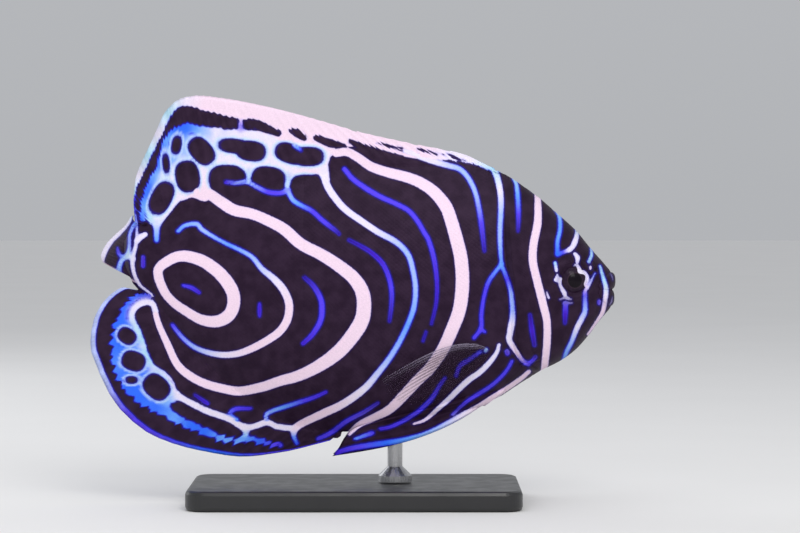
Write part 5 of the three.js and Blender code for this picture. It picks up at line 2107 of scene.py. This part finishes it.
@dataclass(frozen=True)
class Face:
    """The lips and the spines at the lower corners of the cheeks."""

    flesh: Flesh
    upper_lip: tuple[Triple, ...] = ((48.5, -3.85, 43.1), (50, -2.7, 44), (51.05, 0, 44.45))
    lower_lip: tuple[Triple, ...] = ((48.5, -3.85, 42.5), (49.9, -2.7, 41.6), (50.85, 0, 41.1))
    lip_radius: Pair = (0.3, 1.05)
    lip_height: float = 1.64
    lip_fullness: float = 2.5
    lip_rings: int = 49
    spine_root: Pair = (37.2, 29.9)
    spine_tip: Pair = (32.9, 27.6)
    spine_radius: Pair = (0.85, 0.14)
    spine_off: Pair = (-0.9, 0.6)
    spine_point: float = 0.06

    def lip(self, name: str, half: tuple[Triple, ...]) -> Object:
        """One lip, from corner to corner round the front.

        Args:
            name: Name of the lip.
            half: Knots of its right half, from the corner.

        Returns:
            The lip.
        """
        right = np.array(half)
        left = right[:-1][::-1] * np.array([1, -1, 1])
        path = smooth_path(np.vstack([right, left]), self.lip_rings)
        share = np.linspace(0, 1, self.lip_rings)
        radii = lerp(*self.lip_radius, np.sin(np.pi * share) ** 0.8)
        return tube(name, path, radii, 32, self.lip_height, self.lip_fullness)

    def spine(self, name: str, side: float) -> Object:
        """The spine of one cheek, back over the gill opening.

        Args:
            name: Name of the spine.
            side: 1 for the right side, -1 for the left.

        Returns:
            The spine.
        """
        t = np.linspace(0, 1, 24)
        x, z = (lerp(*ends, t) for ends in zip(self.spine_root, self.spine_tip))
        y = self.flesh.side_half(x, z) + lerp(*self.spine_off, t)
        radii = lerp(*self.spine_radius, t) * np.sqrt(np.clip((1 - t) / self.spine_point, 0.02, 1))
        return tube(name, np.stack([x, -side * y, z], -1), radii, 16)


def mark(piece: Object, markings: Markings) -> None:
    """Store on a piece of the face the markings that its right side shows.

    Args:
        piece: The piece.
        markings: The markings.
    """
    x, y, z = places(piece.data).T
    seen = VIEW.project(x, -np.abs(y), z)
    paint(piece.data, markings, *seen, off_fin(np.zeros(len(x))))


@dataclass(frozen=True)
class Lamp:
    """A square soft light that looks at the fish; place and size are in millimetres."""

    name: str
    place: Triple
    size: float
    watts: float
    colour: Triple
    glossy: bool = True

    def build(self) -> None:
        """Put the light in place."""
        data = bpy.data.lights.new(self.name, "AREA")
        data.size, data.energy, data.color = self.size * MM, self.watts, self.colour
        made = bpy.data.objects.new(self.name, data)
        made.location = Vector(self.place) * MM
        aim = Vector(VIEW.target) * MM - made.location
        made.rotation_euler = aim.to_track_quat("-Z", "Y").to_euler()
        made.visible_glossy = self.glossy
        bpy.context.scene.collection.objects.link(made)


@dataclass(frozen=True)
class Studio:
    """The pale floor, soft lights and the camera at the photograph's place."""

    lens: float = 135
    sensor: float = 36
    clip: Pair = (0.01, 20)
    floor_size: float = 6000
    floor_albedo: Pair = (0.76, 0.80)
    floor_hue: Triple = (1, 0.99, 0.975)
    floor_cloud: float = 60
    sky: Triple = (0.86, 0.88, 0.92)
    sky_strength: Pair = (0.52, 0.78)
    lights: tuple[Lamp, ...] = (
        Lamp("key", (120, -420, 420), 260, 1.05, (1.0, 0.98, 0.96)),
        Lamp("top", (-60, -40, 600), 420, 0.65, (0.96, 0.97, 1.0)),
        Lamp("fill", (-380, 300, 260), 360, 0.6, (0.95, 0.97, 1.0)),
        Lamp("low", (-80, -560, 40), 300, 1.15, (1.0, 0.98, 0.97), glossy=False),
    )

    def build(self) -> None:
        """Set up floor, lights, world and camera."""
        half = self.floor_size / 2
        corners = [(-half, -half, 0), (half, -half, 0), (half, half, 0), (-half, half, 0)]
        floor = mesh_object("floor", corners, [(0, 1, 2, 3)])
        s = Shader("floor_card")
        low, high = (rgba(self.floor_hue, tone) for tone in self.floor_albedo)
        s.set(Base_Color=s.mix(s.noise(self.floor_cloud, 4), low, high), Roughness=0.85)
        floor.data.materials.append(s.material)
        world = bpy.data.worlds.new("studio")
        bpy.context.scene.world = world
        world.use_nodes = True
        tree = world.node_tree
        sky = tree.nodes["Background"]
        sky.inputs["Color"].default_value = rgba(self.sky)
        direction, parts = tree.nodes.new("ShaderNodeTexCoord"), tree.nodes.new("ShaderNodeSeparateXYZ")
        rise = tree.nodes.new("ShaderNodeMapRange")
        for socket, number in zip(rise.inputs[1:5], (0.0, 1.0, *self.sky_strength)):
            socket.default_value = number
        tree.links.new(direction.outputs["Generated"], parts.inputs[0])
        tree.links.new(parts.outputs["Z"], rise.inputs[0])
        tree.links.new(rise.outputs[0], sky.inputs["Strength"])
        for lamp in self.lights:
            lamp.build()
        self.camera()
        bpy.context.scene.view_settings.view_transform = "Standard"

    def camera(self) -> None:
        """The camera, level with the fish's right flank."""
        data = bpy.data.cameras.new("camera")
        data.lens, data.sensor_width = self.lens, self.sensor
        data.clip_start, data.clip_end = self.clip
        made = bpy.data.objects.new("camera", data)
        back = Vector(VIEW.back)
        made.location = (Vector(VIEW.target) + back * VIEW.distance) * MM
        made.rotation_euler = (-back).to_track_quat("-Z", "Y").to_euler()
        bpy.context.scene.collection.objects.link(made)
        bpy.context.scene.camera = made


def settle(piece: Object, finish: Material | None, slot: str, *nodes: str) -> None:
    """Let a piece ride on the body.

    Args:
        piece: The piece.
        finish: Its material, or None where it has one already.
        slot: Name of its slot; not used.
        nodes: The nodes that it replaces.
    """
    if finish:
        piece.data.materials.append(finish)
    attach(piece, BODY)
    if nodes:
        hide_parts(*nodes)
    LOG.info("%s: %d faces", piece.name, len(piece.data.polygons))


def build_body(flesh: Flesh, markings: Markings, hide: Material) -> None:
    """The skin with its coats of scales.

    Args:
        flesh: The shape.
        markings: The markings.
        hide: Material of skin and scales.
    """
    skin = Skin(flesh).build(markings)
    settle(skin, hide, "skin", "head", "trunk", "tail_stalk", "dorsal_fin", "anal_fin")
    tree = CoatTree()
    scale = Scale().build()
    step, head_step, middle = 0.98, 0.66, -10
    hind = flesh.tail_end + 0.2
    fore = hind + math.ceil((middle - hind) / step) * step
    gill, lips = flesh.gill_edge, 47.8
    for name, side in SIDES:
        for coat in (
            Coat(flesh, f"rear_scales_{name}", side, hind, middle, step),
            Coat(flesh, f"fore_scales_{name}", side, fore, gill - 0.2, step),
            Coat(flesh, f"head_scales_{name}", side, gill + 0.1, lips, head_step, fin_share=0.0),
        ):
            settle(coat.build(tree, scale, hide, markings), None, "skin")
    bpy.data.objects.remove(scale)


def build_fins(flesh: Flesh, markings: Markings, fin: Material, clear: Material) -> None:
    """The tail fin and the paired fins.

    Args:
        flesh: The shape.
        markings: The markings.
        fin: Material of the dark fins.
        clear: Material of the clear fins.
    """
    settle(Caudal(flesh, Markings(lines=CAUDAL_LINES)).build(), fin, "fin_skin", "caudal_fin")
    pectoral = PairedFin(
        flesh,
        root=((26.4, 31.2), (25, 27.8)),
        tips=((0, 5.4, 25.4), (0.3, 6, 22.9), (0.6, 8.8, 20.7), (1, 14.8, 19.6)),
        stand_off=(0.9, 3.0),
        bow=-2.9,
        bow_lean=0.72,
    )
    pelvic = PairedFin(
        flesh,
        root=((30, 23.4), (22.6, 21.6)),
        tips=((0, -4.5, 9.5), (0.12, -3.4, 10.7), (0.3, -2.2, 12.8), (0.5, -0.4, 14.9), (0.75, 7, 17.2),
              (1, 14, 19)),
        stand_off=(0.5, 0.9),
        least_y=2.3,
        hug=0.7,
        bow=3.4,
        bow_lean=0.8,
    )
    for name, side in SIDES:
        centre = partial(pectoral.centre, side)
        made, at = Blade(
            f"pectoral_web_{name}", 19, 0.5, centre, margin_half=0.1, ridge=0.08, branch=0.6,
        ).build()
        fade = smoothstep(0.5, 1.0, at["along"])
        lead = smoothstep(0.22, 0.0, at["share"]) * (1 - 0.4 * fade)
        cover = lerp(1.0, 0.7, smoothstep(0.1, 0.8, at["share"])) * (1 - 0.6 * fade)
        for key, values in (("ray", at["crest"]), ("lead", lead), ("cover", cover)):
            set_attribute(made.data, key, values)
        close_mesh(made)
        settle(made, clear, "clear_fin", f"pectoral_fin_{name}")
        centre = partial(pelvic.centre, side)
        made, at = Blade(
            f"pelvic_web_{name}", 6, 0.8, centre, margin_half=0.2, ridge=0.06, branch=0.4, tip_free=0.0,
        ).build()
        x, y, z = at["points"].T
        seen = left_warp(*VIEW.project(x, -np.abs(y), z), float(side < 0))
        paint(made.data, markings, *seen, off_fin(at["crest"]))
        close_mesh(made)
        settle(made, fin, "fin_skin", f"pelvic_fin_{name}")


def build_face(flesh: Flesh, markings: Markings, hide: Material, eye_finish: Material) -> None:
    """The eyes, lips and cheek spines.

    Args:
        flesh: The shape.
        markings: The markings.
        hide: Material of the skin.
        eye_finish: Material of the eyes.
    """
    eye, face = Eye(), Face(flesh)
    for name, side in SIDES:
        settle(eye.build(f"eyeball_{name}", side, markings), eye_finish, "eye", f"eye_{name}")
        spine = face.spine(f"cheek_spine_{name}", side)
        mark(spine, markings)
        settle(spine, hide, "skin")
    for name, half in (("upper_lip", face.upper_lip), ("lower_lip", face.lower_lip)):
        lip = face.lip(name, half)
        mark(lip, markings)
        settle(lip, hide, "skin")


def main() -> None:
    """Build the model, dress it and set the camera and lights."""
    logging.basicConfig(level=logging.INFO, format="%(name)s: %(message)s")
    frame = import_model()
    Studio().build()
    flesh, markings = Flesh(), Markings()
    hide = HideFinish().build()
    fin = HideFinish(name="fin_skin", ray_light=0.15, specular=0.05, roughness=0.6).build()
    build_body(flesh, markings, hide)
    build_fins(flesh, markings, fin, ClearFinFinish().build())
    build_face(flesh, markings, hide, EyeFinish().build())
    for node, finish in (("stand_base", PaintFinish()), ("stand_rod", SteelFinish())):
        frame["nodes"][node].material_slots[0].material = finish.build()


if __name__ == "__main__":
    main()
